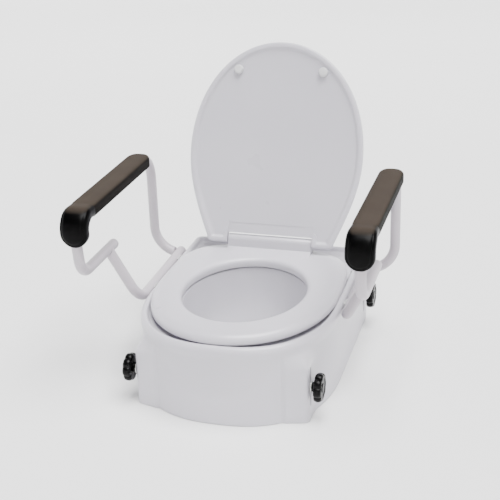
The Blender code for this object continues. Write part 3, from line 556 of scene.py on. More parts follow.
def base_reach(turn, inset):
    """The plain outline's distance from its widest line's middle, at each angle from the front."""
    across, ahead = np.abs(np.sin(turn)), np.cos(turn)
    width = BASE_HALF_WIDTH - inset
    depth = BASE_WIDEST_Y - BASE_FRONT - inset
    forward = np.clip(ahead, 0.0, None)
    bow = ((across / width) ** BASE_FRONT_POWER
           + (forward / depth) ** BASE_FRONT_POWER) ** (-1 / BASE_FRONT_POWER)
    length = BASE_REAR - BASE_WIDEST_Y - inset
    corner = BASE_CORNER - inset / 2
    back = np.clip(-ahead, 1e-6, None)
    flat = np.minimum(width / np.maximum(across, 1e-6), length / back)
    corner_x, corner_y = width - corner, length - corner
    along = corner_x * across + corner_y * back
    rest = corner_x ** 2 + corner_y ** 2 - corner ** 2
    arc = along + np.sqrt(np.clip(along ** 2 - rest, 0.0, None))
    rounded = (flat * across > corner_x) & (flat * back > corner_y)
    return np.where(ahead > 0, bow, np.where(rounded, arc, flat))


def boss_reach(turn):
    """The same for the upright faces of the two front bosses: a side and a slanted front."""
    across, ahead = np.maximum(np.abs(np.sin(turn)), 1e-6), np.cos(turn)
    front_gap = BASE_WIDEST_Y - BOSS_FRONT + BOSS_FRONT_SLOPE * BOSS_SIDE
    front = front_gap / np.maximum(ahead + BOSS_FRONT_SLOPE * across, 0.05)
    reach = blend_min(BOSS_SIDE / across, front, 0.012)
    inner_fade = 1 - smooth_step(reach * across, BOSS_INNER - 0.010, BOSS_INNER + 0.008)
    return np.where(ahead > 0.1, reach - BOSS_SETBACK * inner_fade, 0.0)


def recess_depth(turn, height):
    """The shallow dished panel on the front wall, under the bead."""
    across = np.abs(RECESS_SWEEP * np.sin(turn)) / RECESS_HALF_WIDTH
    up = np.abs(height - RECESS_Z) / RECESS_HALF_HEIGHT
    shape = across ** RECESS_POWER + up ** RECESS_POWER
    deepest = RECESS_DEPTH * np.clip((0.146 - height) / RECESS_HALF_HEIGHT, 0.0, 1.0)
    return deepest * (1 - smooth_step(shape, 0.70, 1.06)) * (np.cos(turn) > 0)


def wall_ring(turn, height, inset, thickness=0.0):
    plain = base_reach(turn, inset)
    bossed = blend_max(plain, boss_reach(turn), 0.010)
    share = (height - BOSS_FACE_TOP) / (BOSS_TOP - BOSS_FACE_TOP)
    share = blend_min(blend_max(share, 0.0, 0.12), 1.0, 0.3)
    reach = bossed + (plain - bossed) * share - recess_depth(turn, height)
    return ring_at(turn, reach - thickness, height)


def ring_at(turn, reach, height):
    x, y = reach * np.sin(turn), BASE_WIDEST_Y - reach * np.cos(turn)
    return np.column_stack([x, y, np.full(len(turn), height)])


def wall_turns(count):
    """Angles around the base, closer together where the bosses and corners bend."""
    fine = np.linspace(-math.pi, math.pi, 7201)
    ring = wall_ring(fine, 0.06, WALL_INSET)
    step = np.diff(ring[:, :2], axis=0)
    heading = np.unwrap(np.arctan2(step[:, 1], step[:, 0]))
    bend = np.abs(np.gradient(heading))
    effort = np.hypot(step[:, 0], step[:, 1]) / 0.009 + bend / math.radians(5)
    total = np.concatenate([[0.0], np.cumsum(effort)])
    return np.interp(np.linspace(0, total[-1], count, endpoint=False), total, fine)


def oval_ring(turn, half_width, half_length, centre_y, height):
    """An ellipse whose points face the same way from its centre as the outer outline's."""
    across, ahead = np.sin(turn), np.cos(turn)
    reach = 1 / np.sqrt((across / half_width) ** 2 + (ahead / half_length) ** 2)
    return np.column_stack([reach * across, centre_y - reach * ahead, np.full(len(turn), height)])


def opening_ring(turn, grow, height):
    return oval_ring(turn, OPENING_HALF_WIDTH + grow, OPENING_HALF_LENGTH + grow, OPENING_Y, height)


def slot_tool(name, sx, face, centre_y):
    """A slot through a side wall, with a small chamfer at its outer edge."""
    rings = []
    for depth, grow in ((-0.014, 0.0), (-0.0007, 0.0), (0.0015, 0.0020)):
        radius = SLOT_HALF_WIDTH + grow
        ring = []
        for step in range(32):
            angle = 2 * math.pi * (step + 0.5) / 32
            straight = math.copysign(SLOT_HALF_LENGTH, math.sin(angle))
            ring.append((sx * (face + depth), centre_y + radius * math.cos(angle),
                         SLOT_Z + straight + radius * math.sin(angle)))
        rings.append(ring)
    return skin(name, rings)


def base_shell():
    turn = wall_turns(420)
    rings = []
    heights = [0.0, 0.0008, *np.linspace(0.006, 0.098, 15), *np.linspace(0.1, WALL_TOP, 22)]
    for height in heights:
        foot = 0.0008 * max(0.0, 1 - height / 0.0008)
        rings.append(wall_ring(turn, height, WALL_INSET - 0.0010 * (1 - height / WALL_TOP) + foot))
    bead = smooth_row([(WALL_INSET, WALL_TOP + 0.0004), (0.0019, 0.1355), (0.0006, 0.1405),
                       (0.0, 0.1455), (0.0006, 0.1505), (0.0032, 0.1548), (0.0080, 0.1570),
                       (0.0118, 0.1556), (0.0139, 0.1522), (0.0153, 0.1492), (0.0185, DECK_Z)], 3)
    rings += [wall_ring(turn, height, inset) for inset, height in bead]
    deck_edge = rings[-1]
    mouth = opening_ring(turn, 0.0125, DECK_Z)
    for share in (0.2, 0.4, 0.6, 0.8):
        rings.append(deck_edge + (mouth - deck_edge) * share)
    funnel = smooth_row([(0.0125, DECK_Z), (0.0092, 0.1500), (0.0068, 0.1528), (0.0040, 0.1537),
                         (0.0012, 0.1524), (-0.0002, 0.1485), (-0.0018, 0.120),
                         (-0.0035, 0.090), (-0.0055, 0.060), (-0.0076, FUNNEL_BOTTOM + 0.002)], 5)
    rings += [opening_ring(turn, grow, height) for grow, height in funnel]
    for grow, height in ((-0.0068, FUNNEL_BOTTOM), (-0.0050, FUNNEL_BOTTOM), (-0.0040, 0.0360),
                         (0.0004, 0.100), (0.0034, DECK_UNDER)):
        rings.append(opening_ring(turn, grow, height))
    rings.append(ring_at(turn, base_reach(turn, 0.020), DECK_UNDER))
    for height in (0.144, 0.138, 0.133, 0.128, 0.123, 0.118, 0.112, 0.106, 0.100, 0.060, 0.0030):
        thickness = WALL - THINNED * (height > THINNED_FROM)
        rings.append(wall_ring(turn, height, WALL_INSET + 0.0004, thickness))
    rings[-1][:, 2] = 0.0
    shell = skin("base_shell_moulding", rings, wrap=True)

    tools = []
    for side, sx in SIDES.items():
        for end in ENDS:
            knob = middle(f"knob_{end}_{side}")
            face = BOSS_SIDE if end == "front" else REAR_SLOT_FACE
            tools.append(slot_tool(f"slot_{end}_{side}", sx, face, knob.y - HINGE_Y))
        tools.append(bore(f"post_hole_{side}", STUD_BORE, DECK_UNDER - 0.004, DECK_Z + 0.004,
                          (sx * POST_X, POST_STUD_Y, 0), (0, 0, 1)))
    rear = box_piece("rear_cut", (-REAR_CUT_HALF_WIDTH, BASE_REAR - 0.020, -0.010),
                     (REAR_CUT_HALF_WIDTH, BASE_REAR + 0.010, REAR_CUT_HEIGHT))
    soften(rear, 0.014, 6)
    tools.append(rear)
    carve(shell, *tools)
    show(shell, "white_plastic", "root", "base_shell")


# ---------------------------------------------------------------- seat ring

def seat_outline(turn, inset, height):
    across, ahead = np.abs(np.sin(turn)), np.cos(turn)
    width = SEAT_HALF_WIDTH - inset
    front = SEAT_WIDEST_Y - SEAT_FRONT - inset
    rear = SEAT_REAR - SEAT_WIDEST_Y - inset
    bow = ((across / width) ** SEAT_FRONT_POWER
           + (np.clip(ahead, 0, None) / front) ** SEAT_FRONT_POWER) ** (-1 / SEAT_FRONT_POWER)
    back = ((across / width) ** SEAT_REAR_POWER
            + (np.clip(-ahead, 0, None) / rear) ** SEAT_REAR_POWER) ** (-1 / SEAT_REAR_POWER)
    reach = np.where(ahead > 0, bow, back)
    return np.column_stack([reach * np.sin(turn), SEAT_WIDEST_Y - reach * ahead,
                            np.full(len(turn), height)])


def seat_ring():
    turn = np.linspace(-math.pi, math.pi, 320, endpoint=False)
    edge = smooth_row([(0.0020, 0.1560), (0.0003, 0.1567), (0.0, 0.1590), (0.0004, 0.1640),
                       (0.0024, 0.1688), (0.0064, 0.1722), (0.0120, 0.1742), (0.0190, SEAT_TOP)], 4)
    rings = [seat_outline(turn, inset, height) for inset, height in edge]
    outer = rings[-1]
    lip = smooth_row([(0.0140, SEAT_TOP), (0.0080, 0.1744), (0.0034, 0.1722),
                      (0.0008, 0.1684), (0.0, 0.1630), (0.0006, 0.1580), (0.0024, 0.1562)], 4)
    hole = [oval_ring(turn, HOLE_HALF_WIDTH + grow, HOLE_HALF_LENGTH + grow, HOLE_Y, height)
            for grow, height in lip]
    for step in range(1, 12):
        ring = outer + (hole[0] - outer) * step / 12
        rings.append(ring)
    rings += hole
    for ring in rings:
        ring[:, 2] += saddle_height(ring)
    for grow, height in ((0.008, SEAT_UNDER), (0.010, SEAT_HOLLOW_TOP)):
        rings.append(oval_ring(turn, HOLE_HALF_WIDTH + grow, HOLE_HALF_LENGTH + grow, HOLE_Y,
                               height))
    rings.append(seat_outline(turn, 0.010, SEAT_HOLLOW_TOP))
    rings.append(seat_outline(turn, 0.008, SEAT_UNDER))
    ring = skin("seat_ring_moulding", rings, wrap=True)

    weld(ring, seat_barrel())
    tools = []
    for side, sx in SIDES.items():
        tools.append(post_room(side, sx))
        tools.append(bore(f"seat_bore_{side}", PIN_BORE, 0.0, 0.035,
                          (sx * 0.057, 0, HINGE_Z), (sx, 0, 0)))
    carve(ring, *tools)
    show(ring, "white_plastic", "seat", "seat_ring")


def saddle_height(ring):
    """How much the seat's top rises towards the hinge bar."""
    x, y, z = np.abs(ring[:, 0]), ring[:, 1], ring[:, 2]
    rise = smooth_step(y, -0.048, -0.010) * smooth_step(z, SEAT_HOLLOW_TOP, 0.1745)
    return SADDLE_RISE * rise * (1 - smooth_step(x, 0.072, BARREL_HALF_LENGTH - 0.001))


def side_prism(name, outline, x_span):
    rings = [[(x, y, z) for y, z in outline] for x in x_span]
    return skin(name, rings)


def seat_barrel():
    """The round-topped bar along the seat's rear, with a ramp that rises to it from the front."""
    outline = [(-0.0400, 0.170), (-0.0400, 0.1748), (-0.0320, 0.1752), (-0.0230, 0.1764),
               (-0.0160, 0.1784), (-0.0125, 0.1806)]
    for step in range(27):
        angle = math.radians(170 - 6.5 * step)
        outline.append((BARREL_RADIUS * math.cos(angle), HINGE_Z + BARREL_RADIUS * math.sin(angle)))
    outline.append((0.0100, 0.170))
    barrel = side_prism("seat_barrel", outline, (-BARREL_HALF_LENGTH, BARREL_HALF_LENGTH))
    return soften(barrel, 0.0010, 3, 60)


def post_room(side, sx):
    low, radius = SEAT_UNDER - 0.010, 0.0073
    outline = [(-radius, low)]
    for step in range(13):
        angle = math.radians(180 - 7.5 * step)
        outline.append((radius * math.cos(angle), HINGE_Z + radius * math.sin(angle)))
    outline += [(0.0060, HINGE_Z + 0.0088), (0.040, HINGE_Z + 0.0145), (0.040, low)]
    reach = POST_HALF_WIDTH + 0.001
    return side_prism(f"post_room_{side}", outline, (sx * POST_X - reach, sx * POST_X + reach))


# ---------------------------------------------------------------- lid

def lid_outline(inset):
    """The closed lid in plan, from its nose around the right side to the heel, and mirrored."""
    half = []
    width, length = LID_HALF_WIDTH - inset, LID_LENGTH - LID_WIDEST - inset
    for step in range(41):
        angle = math.radians(90) * step / 40
        half.append((width * math.sin(angle) ** (2 / LID_POWER),
                     -LID_WIDEST - length * max(math.cos(angle), 0.0) ** (2 / LID_POWER)))
    corner = max(LID_CORNER - inset, 0.004)
    heel = LID_HEEL - inset
    side_end = heel - corner
    for step in range(1, 33):
        share = step / 32
        across = (LID_HEEL_HALF_WIDTH - inset
                  + (LID_HALF_WIDTH - LID_HEEL_HALF_WIDTH) * math.cos(math.radians(90) * share))
        half.append((across, -LID_WIDEST + (LID_WIDEST + side_end) * share))
    corner_x = LID_HEEL_HALF_WIDTH - inset - corner
    for step in range(1, 11):
        angle = math.radians(90) * step / 10
        half.append((corner_x + corner * math.cos(angle), side_end + corner * math.sin(angle)))
    for step in range(1, 13):
        half.append((corner_x * (1 - step / 12), heel))
    return half + [(-x, y) for x, y in half[-2:0:-1]]


def lid_ring(inset, drop):
    return np.array([(x, y, HINGE_Z + drop) for x, y in lid_outline(inset)])


def shrunk(ring, scale, drop):
    centre = np.array([0.0, -0.200])
    inner = ring.copy()
    inner[:, :2] = centre + (inner[:, :2] - centre) * scale
    inner[:, 2] = HINGE_Z + drop
    return inner


def lid():
    edge = [(0.0065, LID_RIM_Z), (0.0035, LID_RIM_Z + 0.0003), (0.0012, LID_RIM_Z + 0.0015),
            (0.0, LID_RIM_Z + 0.0040), (0.0, -0.0068), (0.0008, -0.0040), (0.0030, -0.0020),
            (0.0075, LID_BACK_Z)]
    rings = [lid_ring(*level) for level in smooth_row(edge, 3)]
    back = rings[-1]
    scales = [math.cos(math.radians(90) * step / 26) for step in range(1, 26)] + [0.03, 0.008]
    rings += [shrunk(back, scale, LID_BACK_Z + LID_CROWN * (1 - scale ** 2)) for scale in scales]
    rim = rings[0]
    under = [shrunk(rim, scale, LID_RIM_Z) for scale in (0.3, 0.8)]
    cover = skin("lid_moulding", under + rings)

    recess = skin("lid_recess", lid_recess_rings())
    guard = box_piece("recess_guard", (-KNUCKLE_INNER_X - 0.0085, -LID_NOTCH - 0.0090, 0.150),
                      (KNUCKLE_INNER_X + 0.0085, 0.030, 0.230))
    soften(guard, 0.006, 5, 60)
    carve(recess, guard)
    notch = box_piece("lid_notch", (-KNUCKLE_INNER_X, -LID_NOTCH, 0.150),
                      (KNUCKLE_INNER_X, 0.030, 0.230))
    soften(notch, 0.0025, 4, 60)
    ramp_room = box_piece("ramp_room", (-KNUCKLE_INNER_X, -0.034, 0.150),
                          (KNUCKLE_INNER_X, 0.030, HINGE_Z - 0.0084))
    carve(cover, recess, notch, ramp_room)
    for side, sx in SIDES.items():
        knuckle = turned(f"knuckle_{side}", [(0.0080, 0.0), (0.0092, 0.0007), (0.0095, 0.0020),
                                             (0.0095, 0.0310), (0.0088, 0.0335), (0.0070, 0.0345)],
                         (sx * (KNUCKLE_INNER_X + 0.0005), 0, HINGE_Z), (sx, 0, 0), 40)
        weld(cover, knuckle)
        carve(cover, bore(f"lid_bore_{side}", PIN_BORE, 0.0, 0.028,
                          (sx * 0.085, 0, HINGE_Z), (sx, 0, 0)))
    open_up(cover)
    show(cover, "white_plastic", "lid", "lid")

    buffer_x, buffer_y = LID_BUFFER_PLACE
    for side, sx in SIDES.items():
        buffer = turned(f"lid_buffer_disc_{side}",
                        [(0.0060, 0.0), (0.0078, 0.0004), (0.0088, 0.0015), (0.0094, 0.0032),
                         (0.0098, 0.0055), (0.0099, 0.0083)],
                        (sx * buffer_x, buffer_y, SEAT_TOP + 0.0003), (0, 0, 1), 40)
        open_up(buffer)
        show(buffer, "grey_rubber", "lid", f"lid_buffer_{side}")


def lid_recess_rings():
    """The hollow inside the rim: a flat floor, a soft cove and a rounded brow."""
    profile = smooth_row([(0.0185, LID_PANEL_Z), (0.0150, LID_PANEL_Z - 0.0004),
                          (0.0125, LID_PANEL_Z - 0.0018), (0.0110, LID_RIM_Z + 0.0014),
                          (0.0096, LID_RIM_Z + 0.0003), (0.0075, LID_RIM_Z - 0.0008)], 4)
    rings = [lid_ring(*level) for level in profile]
    floor = [shrunk(rings[0], scale, LID_PANEL_Z) for scale in (0.2, 0.6)]
    return floor + rings


def open_up(item):
    """Turn a piece drawn on the closed lid up to where the open lid stands."""
    axis = Matrix.Translation((0, HINGE_Y, HINGE_Z))
    item.data.transform(axis @ Matrix.Rotation(-LID_OPEN, 4, "X") @ axis.inverted())
    item.data.update()


# ---------------------------------------------------------------- hinge hardware

def hinge_hardware(side, sx):
    x = sx * POST_X
    radius = POST_HEAD_RADIUS
    outline = [(-radius, DECK_Z + 0.002)]
    for step in range(25):
        angle = math.radians(180 - 7.5 * step)
        outline.append((radius * math.cos(angle), HINGE_Z + radius * math.sin(angle)))
    outline.append((radius, DECK_Z + 0.002))
    post = side_prism(f"hinge_post_blade_{side}", outline,
                      (x - POST_HALF_WIDTH, x + POST_HALF_WIDTH))
    foot = box_piece(f"foot_{side}", (x - 0.011, -0.014, DECK_Z + 0.0003),
                     (x + 0.011, 0.017, DECK_Z + 0.003))
    soften(foot, 0.0012, 3)
    stud = turned(f"stud_{side}", [(0.0034, 0.122), (0.0040, 0.1235), (0.0040, DECK_Z + 0.002)],
                  (x, POST_STUD_Y, 0), (0, 0, 1), 24)
    weld(post, foot, stud)
    show(post, "white_plastic", "root", f"hinge_post_{side}")

    nut = turned(f"wing_nut_{side}", [(0.0070, 0.130), (0.0088, 0.1312), (0.0090, 0.142),
                                      (0.0086, 0.1434)], (x, POST_STUD_Y, 0), (0, 0, 1), 32)
    wings = box_piece(f"wings_{side}", (x - 0.017, 0.0095, 0.131), (x + 0.017, 0.0135, 0.139))
    soften(wings, 0.0014, 3)
    hole = bore(f"nut_bore_{side}", STUD_BORE, 0.115, 0.150, (x, POST_STUD_Y, 0), (0, 0, 1))
    weld(nut, wings)
    carve(nut, hole)
    show(nut, "white_plastic", "root", f"hinge_wing_nut_{side}")


# ---------------------------------------------------------------- armrests

def arm_path(sx):
    corners = [(0.2112, ARM_REAR_Y, 0.1463), (ARM_X, ARM_REAR_Y, 0.1602),
               (ARM_X, ARM_REAR_Y, ARM_TOP_Z), (ARM_X, ARM_FRONT_Y, ARM_TOP_Z),
               (ARM_X, JOG_FRONT_Y, JOG_Z), (ARM_X, JOG_END_Y, JOG_Z)]
    path = rounded_path(corners, ARM_BENDS)
    return [Vector((point.x * sx, point.y, point.z)) for point in path]


def rail_path(sx):
    lean = (ARM_X - RAIL_FRONT_X) / (JOG_Z - RAIL_Z)
    corners = [(RAIL_FRONT_X + lean * (JOG_Z - RAIL_Z), RAIL_TOP_Y, JOG_Z),
               (RAIL_FRONT_X, RAIL_BEND_Y, RAIL_Z), (RAIL_X, RAIL_REAR_Y, RAIL_Z)]
    path = rounded_path(corners, (RAIL_BEND,))
    return [Vector((point.x * sx, point.y, point.z)) for point in path]


def plug(name, end, spigot_length, body, node):
    """A domed end plug with a thin flange that covers the tube's wall."""
    profile = [(0.0066, -spigot_length), (0.0070, 0.001 - spigot_length), (0.0070, 0.0001),
               (0.0094, 0.0003), (0.0098, 0.0007), (0.0098, 0.0018), (0.0094, 0.0030),
               (0.0082, 0.0043), (0.0060, 0.0053), (0.0032, 0.0059), (0.0008, 0.0060)]
    item = turned(name, profile, end, (0, 1, 0), 40)
    show(item, "white_end_plug", body, node)


def armrest(side, sx):
    body = f"arm_{side}"
    arm = tube(f"armrest_tube_{side}", arm_path(sx), TUBE_RADIUS)
    face = box_piece(f"pivot_face_{side}", (sx * 0.200 - 0.0135, ARM_REAR_Y - 0.02, RAIL_Z - 0.02),
                     (sx * 0.200 + 0.0135, ARM_REAR_Y + 0.02, RAIL_Z + 0.02))
    hole = bore(f"pivot_bore_{side}", PIVOT_BORE, 0.0, 0.0225,
                (sx * 0.205, ARM_REAR_Y, RAIL_Z), (sx, 0, 0))
    mouth = bore(f"mouth_{side}", PLUG_BORE, -0.0125, 0.010,
                 (sx * ARM_X, JOG_END_Y, JOG_Z), (0, 1, 0))
    carve(arm, face, hole, mouth)
    show(arm, "white_coated_steel", body, f"arm_tube_{side}")
    plug(f"armrest_plug_{side}", (sx * ARM_X, JOG_END_Y, JOG_Z), 0.012, body, f"arm_plug_{side}")
    armrest_pad(side, sx, body)
    armrest_cap(side, sx, body)


def pad_section(half_width, low, high, sides=48):
    """A soft-cornered slab across the armrest: (x, z) points, crowned on top."""
    section = []
    middle_z, half_height = (low + high) / 2, (high - low) / 2
    for index in range(sides):
        angle = 2 * math.pi * index / sides
        across = math.copysign(abs(math.cos(angle)) ** 0.34, math.cos(angle))
        up = math.copysign(abs(math.sin(angle)) ** 0.34, math.sin(angle))
        crown = 0.0012 * (across ** 2 - 0.2) if up > 0 else 0.0
        section.append((across * half_width, middle_z + up * half_height - crown * (up > 0.5)))
    return section


def armrest_pad(side, sx, body):
    low, high = PAD_LOW.z, PAD_HIGH.z
    rings = []
    corner = PAD_CORNER
    stations = list(np.linspace(PAD_FRONT, PAD_REAR - corner, 24))
    stations += [PAD_REAR - corner + corner * math.sin(math.radians(90) * step / 24)
                 for step in range(1, 25)]
    for y in stations:
        past = max(0.0, y - (PAD_REAR - corner)) / corner
        half_width = PAD_HALF_WIDTH - corner * (1 - math.sqrt(max(0.0, 1 - past ** 2)))
        close = 0.0035 * (1 - math.sqrt(1 - smooth_step(past, 0.60, 1.0) ** 2))
        front = 0.0006 * (1 - smooth_step(y, PAD_FRONT, PAD_FRONT + 0.003))
        section = pad_section(half_width - front, low + close, high - 0.0004 - close - front)
        rings.append([(sx * ARM_X + x, y, z) for x, z in section])
    pad = skin(f"armrest_pad_{side}", rings)
    channel = tube(f"channel_{side}", arm_path(sx), TUBE_RADIUS + TUBE_CLEARANCE, 32)
    carve(pad, channel)
    show(pad, "armrest_foam", body, f"arm_pad_{side}", sharp=50)


def armrest_cap(side, sx, body):
    """The glossy nose: it wraps the tube's front bend and has an inset tongue-shaped panel."""
    middle_z = (PAD_LOW.z + PAD_HIGH.z) / 2
    lean = (JOG_FRONT_Y - ARM_FRONT_Y) / (ARM_TOP_Z - JOG_Z)
    tip_y = ARM_FRONT_Y + lean * (ARM_TOP_Z - CAP_TIP_Z)
    bend = rounded_path([(0, PAD_FRONT - 0.0003, middle_z), (0, ARM_FRONT_Y, middle_z),
                         (0, tip_y, CAP_TIP_Z)], (CAP_BEND,), math.radians(4))
    down = (bend[-1] - bend[-2]).normalized()
    tip_start = bend[-1] - down * CAP_TIP_LENGTH
    lead = bend[:-1]
    gap = tip_start - lead[-1]
    stations = [bend[0] + (bend[1] - bend[0]) * share for share in (0, 0.05, 0.2, 0.4, 0.6, 0.8)]
    stations += lead[1:]
    if gap.length > 0.002:
        stations += [lead[-1] + gap * share for share in (0.34, 0.67)]
    straight = len(stations)
    turns = [math.radians(angle) for angle in (0, 8, 16, 24, 32, 40, 47, 54, 60, 66, 71, 75, 78)]
    stations += [tip_start + down * CAP_TIP_LENGTH * math.sin(turn) for turn in turns]
    rings = []
    for index, station in enumerate(stations):
        before = stations[max(index - 1, 0)]
        after = stations[min(index + 1, len(stations) - 1)]
        along = (after - before).normalized() if index else Vector((0, -1, 0))
        out = Vector((0, -along.z, along.y)) * -1
        grow = smooth_step(min(index / (straight - 1), 1.0), 0.0, 0.5)
        wide, deep = 0.0246 + 0.0016 * grow, 0.0127 + 0.0016 * grow
        if index >= straight:
            turn = turns[index - straight]
            wide *= math.cos(turn)
            deep *= math.cos(turn) ** 0.30
        remaining = sum((b - a).length for a, b in zip(stations[index:], stations[index + 1:]))
        rings.append(cap_ring(station, out, wide, deep, remaining, sx))
    cap = skin(f"armrest_cap_{side}", rings)
    hole = tube(f"cap_hole_{side}", arm_path(sx), TUBE_RADIUS + TUBE_CLEARANCE, 32)
    carve(cap, hole)
    show(cap, "black_plastic", body, f"arm_cap_{side}", sharp=50, look=NOSE_LOOK)


def cap_ring(station, out, wide, deep, remaining, sx, sides=112):
    """One section of the nose. Its front face sinks in a groove around the inset panel."""
    ring = []
    for index in range(sides):
        angle = 2 * math.pi * index / sides
        across = math.copysign(abs(math.cos(angle)) ** 0.62, math.cos(angle)) * wide
        lift = math.copysign(abs(math.sin(angle)) ** 0.62, math.sin(angle)) * deep
        if lift > 0.3 * deep:
            radius = CAP_HALF_WIDTH
            if remaining < radius:
                edge = radius - math.hypot(across, radius - remaining)
            else:
                edge = radius - abs(across)
            fade = 1 - smooth_step(remaining, 0.040, 0.062)
            groove = math.exp(-((edge - 0.0062) / 0.0011) ** 2)
            panel = smooth_step(edge, 0.0070, 0.0120)
            lift += (0.0004 * panel - 0.0011 * groove) * fade
        ring.append(Vector((sx * ARM_X + across, station.y, station.z)) + out * lift)
    return ring


def side_rail(side, sx):
    rail = tube(f"rail_tube_{side}", rail_path(sx), TUBE_RADIUS)
    clearance = tube(f"rail_cope_{side}", arm_path(sx)[3:], TUBE_RADIUS + 0.00035)
    hollow = tube(f"rail_inside_{side}", rail_path(sx)[:6], TUBE_RADIUS - TUBE_WALL)
    rear_end = (sx * RAIL_X, RAIL_REAR_Y, RAIL_Z)
    mouth = bore(f"rail_mouth_{side}", PLUG_BORE, -0.0035, 0.010, rear_end, (0, 1, 0))
    carve(rail, clearance, hollow, mouth)
    show(rail, "white_coated_steel", "root", f"side_rail_{side}")
    plug(f"rail_end_cap_{side}", rear_end, 0.003, "root", f"rail_plug_{side}")


# ---------------------------------------------------------------- knobs

def knob(end, side, sx):
    """A thick eight-lobed knob with rounded rims, a hub behind it and a capped middle."""
    body = f"knob_{end}_{side}"
    low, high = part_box(f"knob_{end}_{side}")
    centre = (low + high) / 2
    inner, outer = (low.x, high.x) if sx > 0 else (high.x, low.x)
    lobes_x = inner + sx * HUB_LENGTH
    thickness = abs(outer - lobes_x)
    profile = smooth_row([(0.62, 0.0), (0.86, 0.0003), (0.95, 0.0016), (0.995, 0.0045),
                          (1.0, 0.5 * thickness), (0.99, thickness - 0.0048),
                          (0.94, thickness - 0.0018), (0.85, thickness - 0.0002),
                          (0.74, thickness - 0.0003), (0.66, thickness - 0.0014),
                          (0.50, thickness - 0.0017), (0.36, thickness - 0.0016),
                          (0.33, thickness - 0.0004), (0.24, thickness), (0.10, thickness)], 3)
    rings = []
    sides = 160
    for scale, along in profile:
        depth = smooth_step(scale, 0.45, 0.90)
        ring = []
        for index in range(sides):
            angle = 2 * math.pi * index / sides
            lobe = 2 * abs(math.cos(4 * angle)) ** 0.75 - 1
            radius = (KNOB_RADIUS + KNOB_LOBE * lobe * depth) * scale
            ring.append((lobes_x + sx * along, centre.y - HINGE_Y + radius * math.cos(angle),
                         centre.z + radius * math.sin(angle)))
        rings.append(ring)
    item = skin(f"lobed_knob_{end}_{side}", rings)
    hub = turned(f"hub_{end}_{side}", [(0.0082, 0.0), (0.0090, 0.0008), (0.0092, 0.0070)],
                 (inner, centre.y - HINGE_Y, centre.z), (sx, 0, 0), 40)
    weld(item, hub)
    hole = bore(f"knob_bore_{end}_{side}", STUD_BORE, -0.002, 0.0135,
                (inner, centre.y - HINGE_Y, centre.z), (sx, 0, 0))
    carve(item, hole)
    show(item, "black_plastic", body, f"knob_{end}_{side}")


# ---------------------------------------------------------------- stage

def stage():
    """A pale round floor that sweeps up into a low wall."""
    turn = np.linspace(-math.pi, math.pi, 96, endpoint=False)
    bend = np.radians(np.linspace(0, 90, 13))
    sweep = [(0.05, FLOOR_Z), (FLOOR_RADIUS / 2, FLOOR_Z)]
    sweep += [(FLOOR_RADIUS + COVE_RADIUS * math.sin(angle),
               COVE_RADIUS - COVE_RADIUS * math.cos(angle) + FLOOR_Z) for angle in bend]
    wall = FLOOR_RADIUS + COVE_RADIUS
    sweep += [(wall, WALL_HEIGHT), (wall + 0.01, WALL_HEIGHT), (wall + 1.2, 1.0),
              (FLOOR_RADIUS + 0.2, -0.01)]
    rings = [oval_ring(turn, radius, radius, 0.0, height) for radius, height in sweep]
    floor = skin("floor", rings)
    floor.data.shade_smooth()
    look = Shader("pale_floor", Specular_IOR_Level=0.2)
    look.feed("Base Color", look.ramp(look.noise(0.8), grey(0.87), grey(0.89)))
    look.feed("Roughness", look.remap(look.noise(5.0), 0.75, 0.85))
    floor.data.materials.append(look.material)

    world = bpy.data.worlds.new("studio")
    world.use_nodes = True
    world.node_tree.nodes["Background"].inputs["Color"].default_value = (0.96, 0.97, 1.0, 1.0)
    world.node_tree.nodes["Background"].inputs["Strength"].default_value = 0.08
    bpy.context.scene.world = world


def new_light(name, kind, power, place, aim):
    light = bpy.data.lights.new(name, kind)
    light.energy = power
    item = bpy.data.objects.new(name, light)
    item.location = place
    item.rotation_euler = (Vector(aim) - Vector(place)).to_track_quat("-Z", "Y").to_euler()
    bpy.context.scene.collection.objects.link(item)
    return light


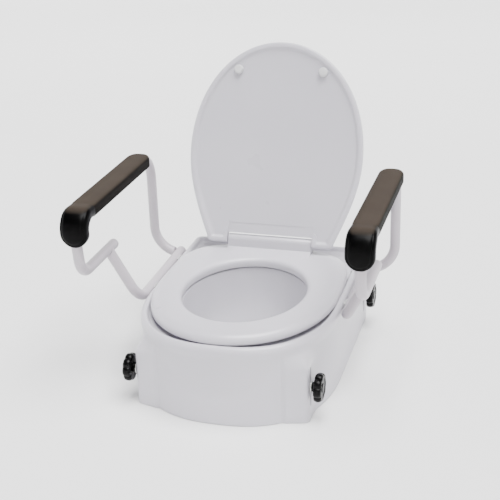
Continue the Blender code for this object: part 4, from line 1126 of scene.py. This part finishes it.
def softbox(name, power, place, size):
    light = new_light(name, "AREA", power, place, (0, 0, 0.25))
    light.shape = "RECTANGLE"
    light.size, light.size_y = size


def lights():
    """A broad panel overhead, a softbox in front, one behind, and a spot that fills the bowl."""
    panel = bpy.data.lights.new("sky_panel", "SUN")
    panel.energy = 8.4
    panel.angle = math.radians(45)
    item = bpy.data.objects.new("sky_panel", panel)
    item.rotation_euler = Vector((0.22, -0.10, 0.97)).to_track_quat("Z", "Y").to_euler()
    bpy.context.scene.collection.objects.link(item)
    softbox("front_softbox", 10, (0.9, -2.0, 2.1), (1.8, 1.4))
    bowl = new_light("bowl_spot", "SPOT", 85, (0.25, HINGE_Y - 1.25, 1.65),
                     (0, HINGE_Y - 0.13, 0.10))
    bowl.spot_size = math.radians(9)
    bowl.spot_blend = 1.0
    bowl.shadow_soft_size = 0.06
    softbox("back_softbox", 17, (-0.7, 3.0, 1.5), (3.4, 1.4))


def camera():
    a, e, r = CAMERA_AZIMUTH, CAMERA_ELEVATION, CAMERA_ROLL
    back = Vector((math.sin(a) * math.cos(e), -math.cos(a) * math.cos(e), math.sin(e)))
    right = (-back).cross(Vector((0, 0, 1))).normalized()
    up = right.cross(-back)
    turned_right = right * math.cos(r) + up * math.sin(r)
    turned_up = up * math.cos(r) - right * math.sin(r)
    data = bpy.data.cameras.new("camera")
    data.lens = CAMERA_LENS
    data.sensor_width = 36.0
    item = bpy.data.objects.new("camera", data)
    axes = Matrix((turned_right, turned_up, back)).transposed().to_4x4()
    item.matrix_world = Matrix.Translation(CAMERA_TARGET + back * CAMERA_DISTANCE) @ axes
    bpy.context.scene.collection.objects.link(item)
    bpy.context.scene.camera = item


# ---------------------------------------------------------------- make everything

camera()
stage()
lights()
for subpart in frame["record"]["subparts"]:
    node = frame["nodes"][subpart["node"]]
    node.data.materials.clear()
    node.data.materials.append(LOOKS[subpart["material_slot"]])
base_shell()
seat_ring()
lid()
for side, sx in SIDES.items():
    hinge_hardware(side, sx)
    armrest(side, sx)
    side_rail(side, sx)
    for end in ENDS:
        knob(end, side, sx)
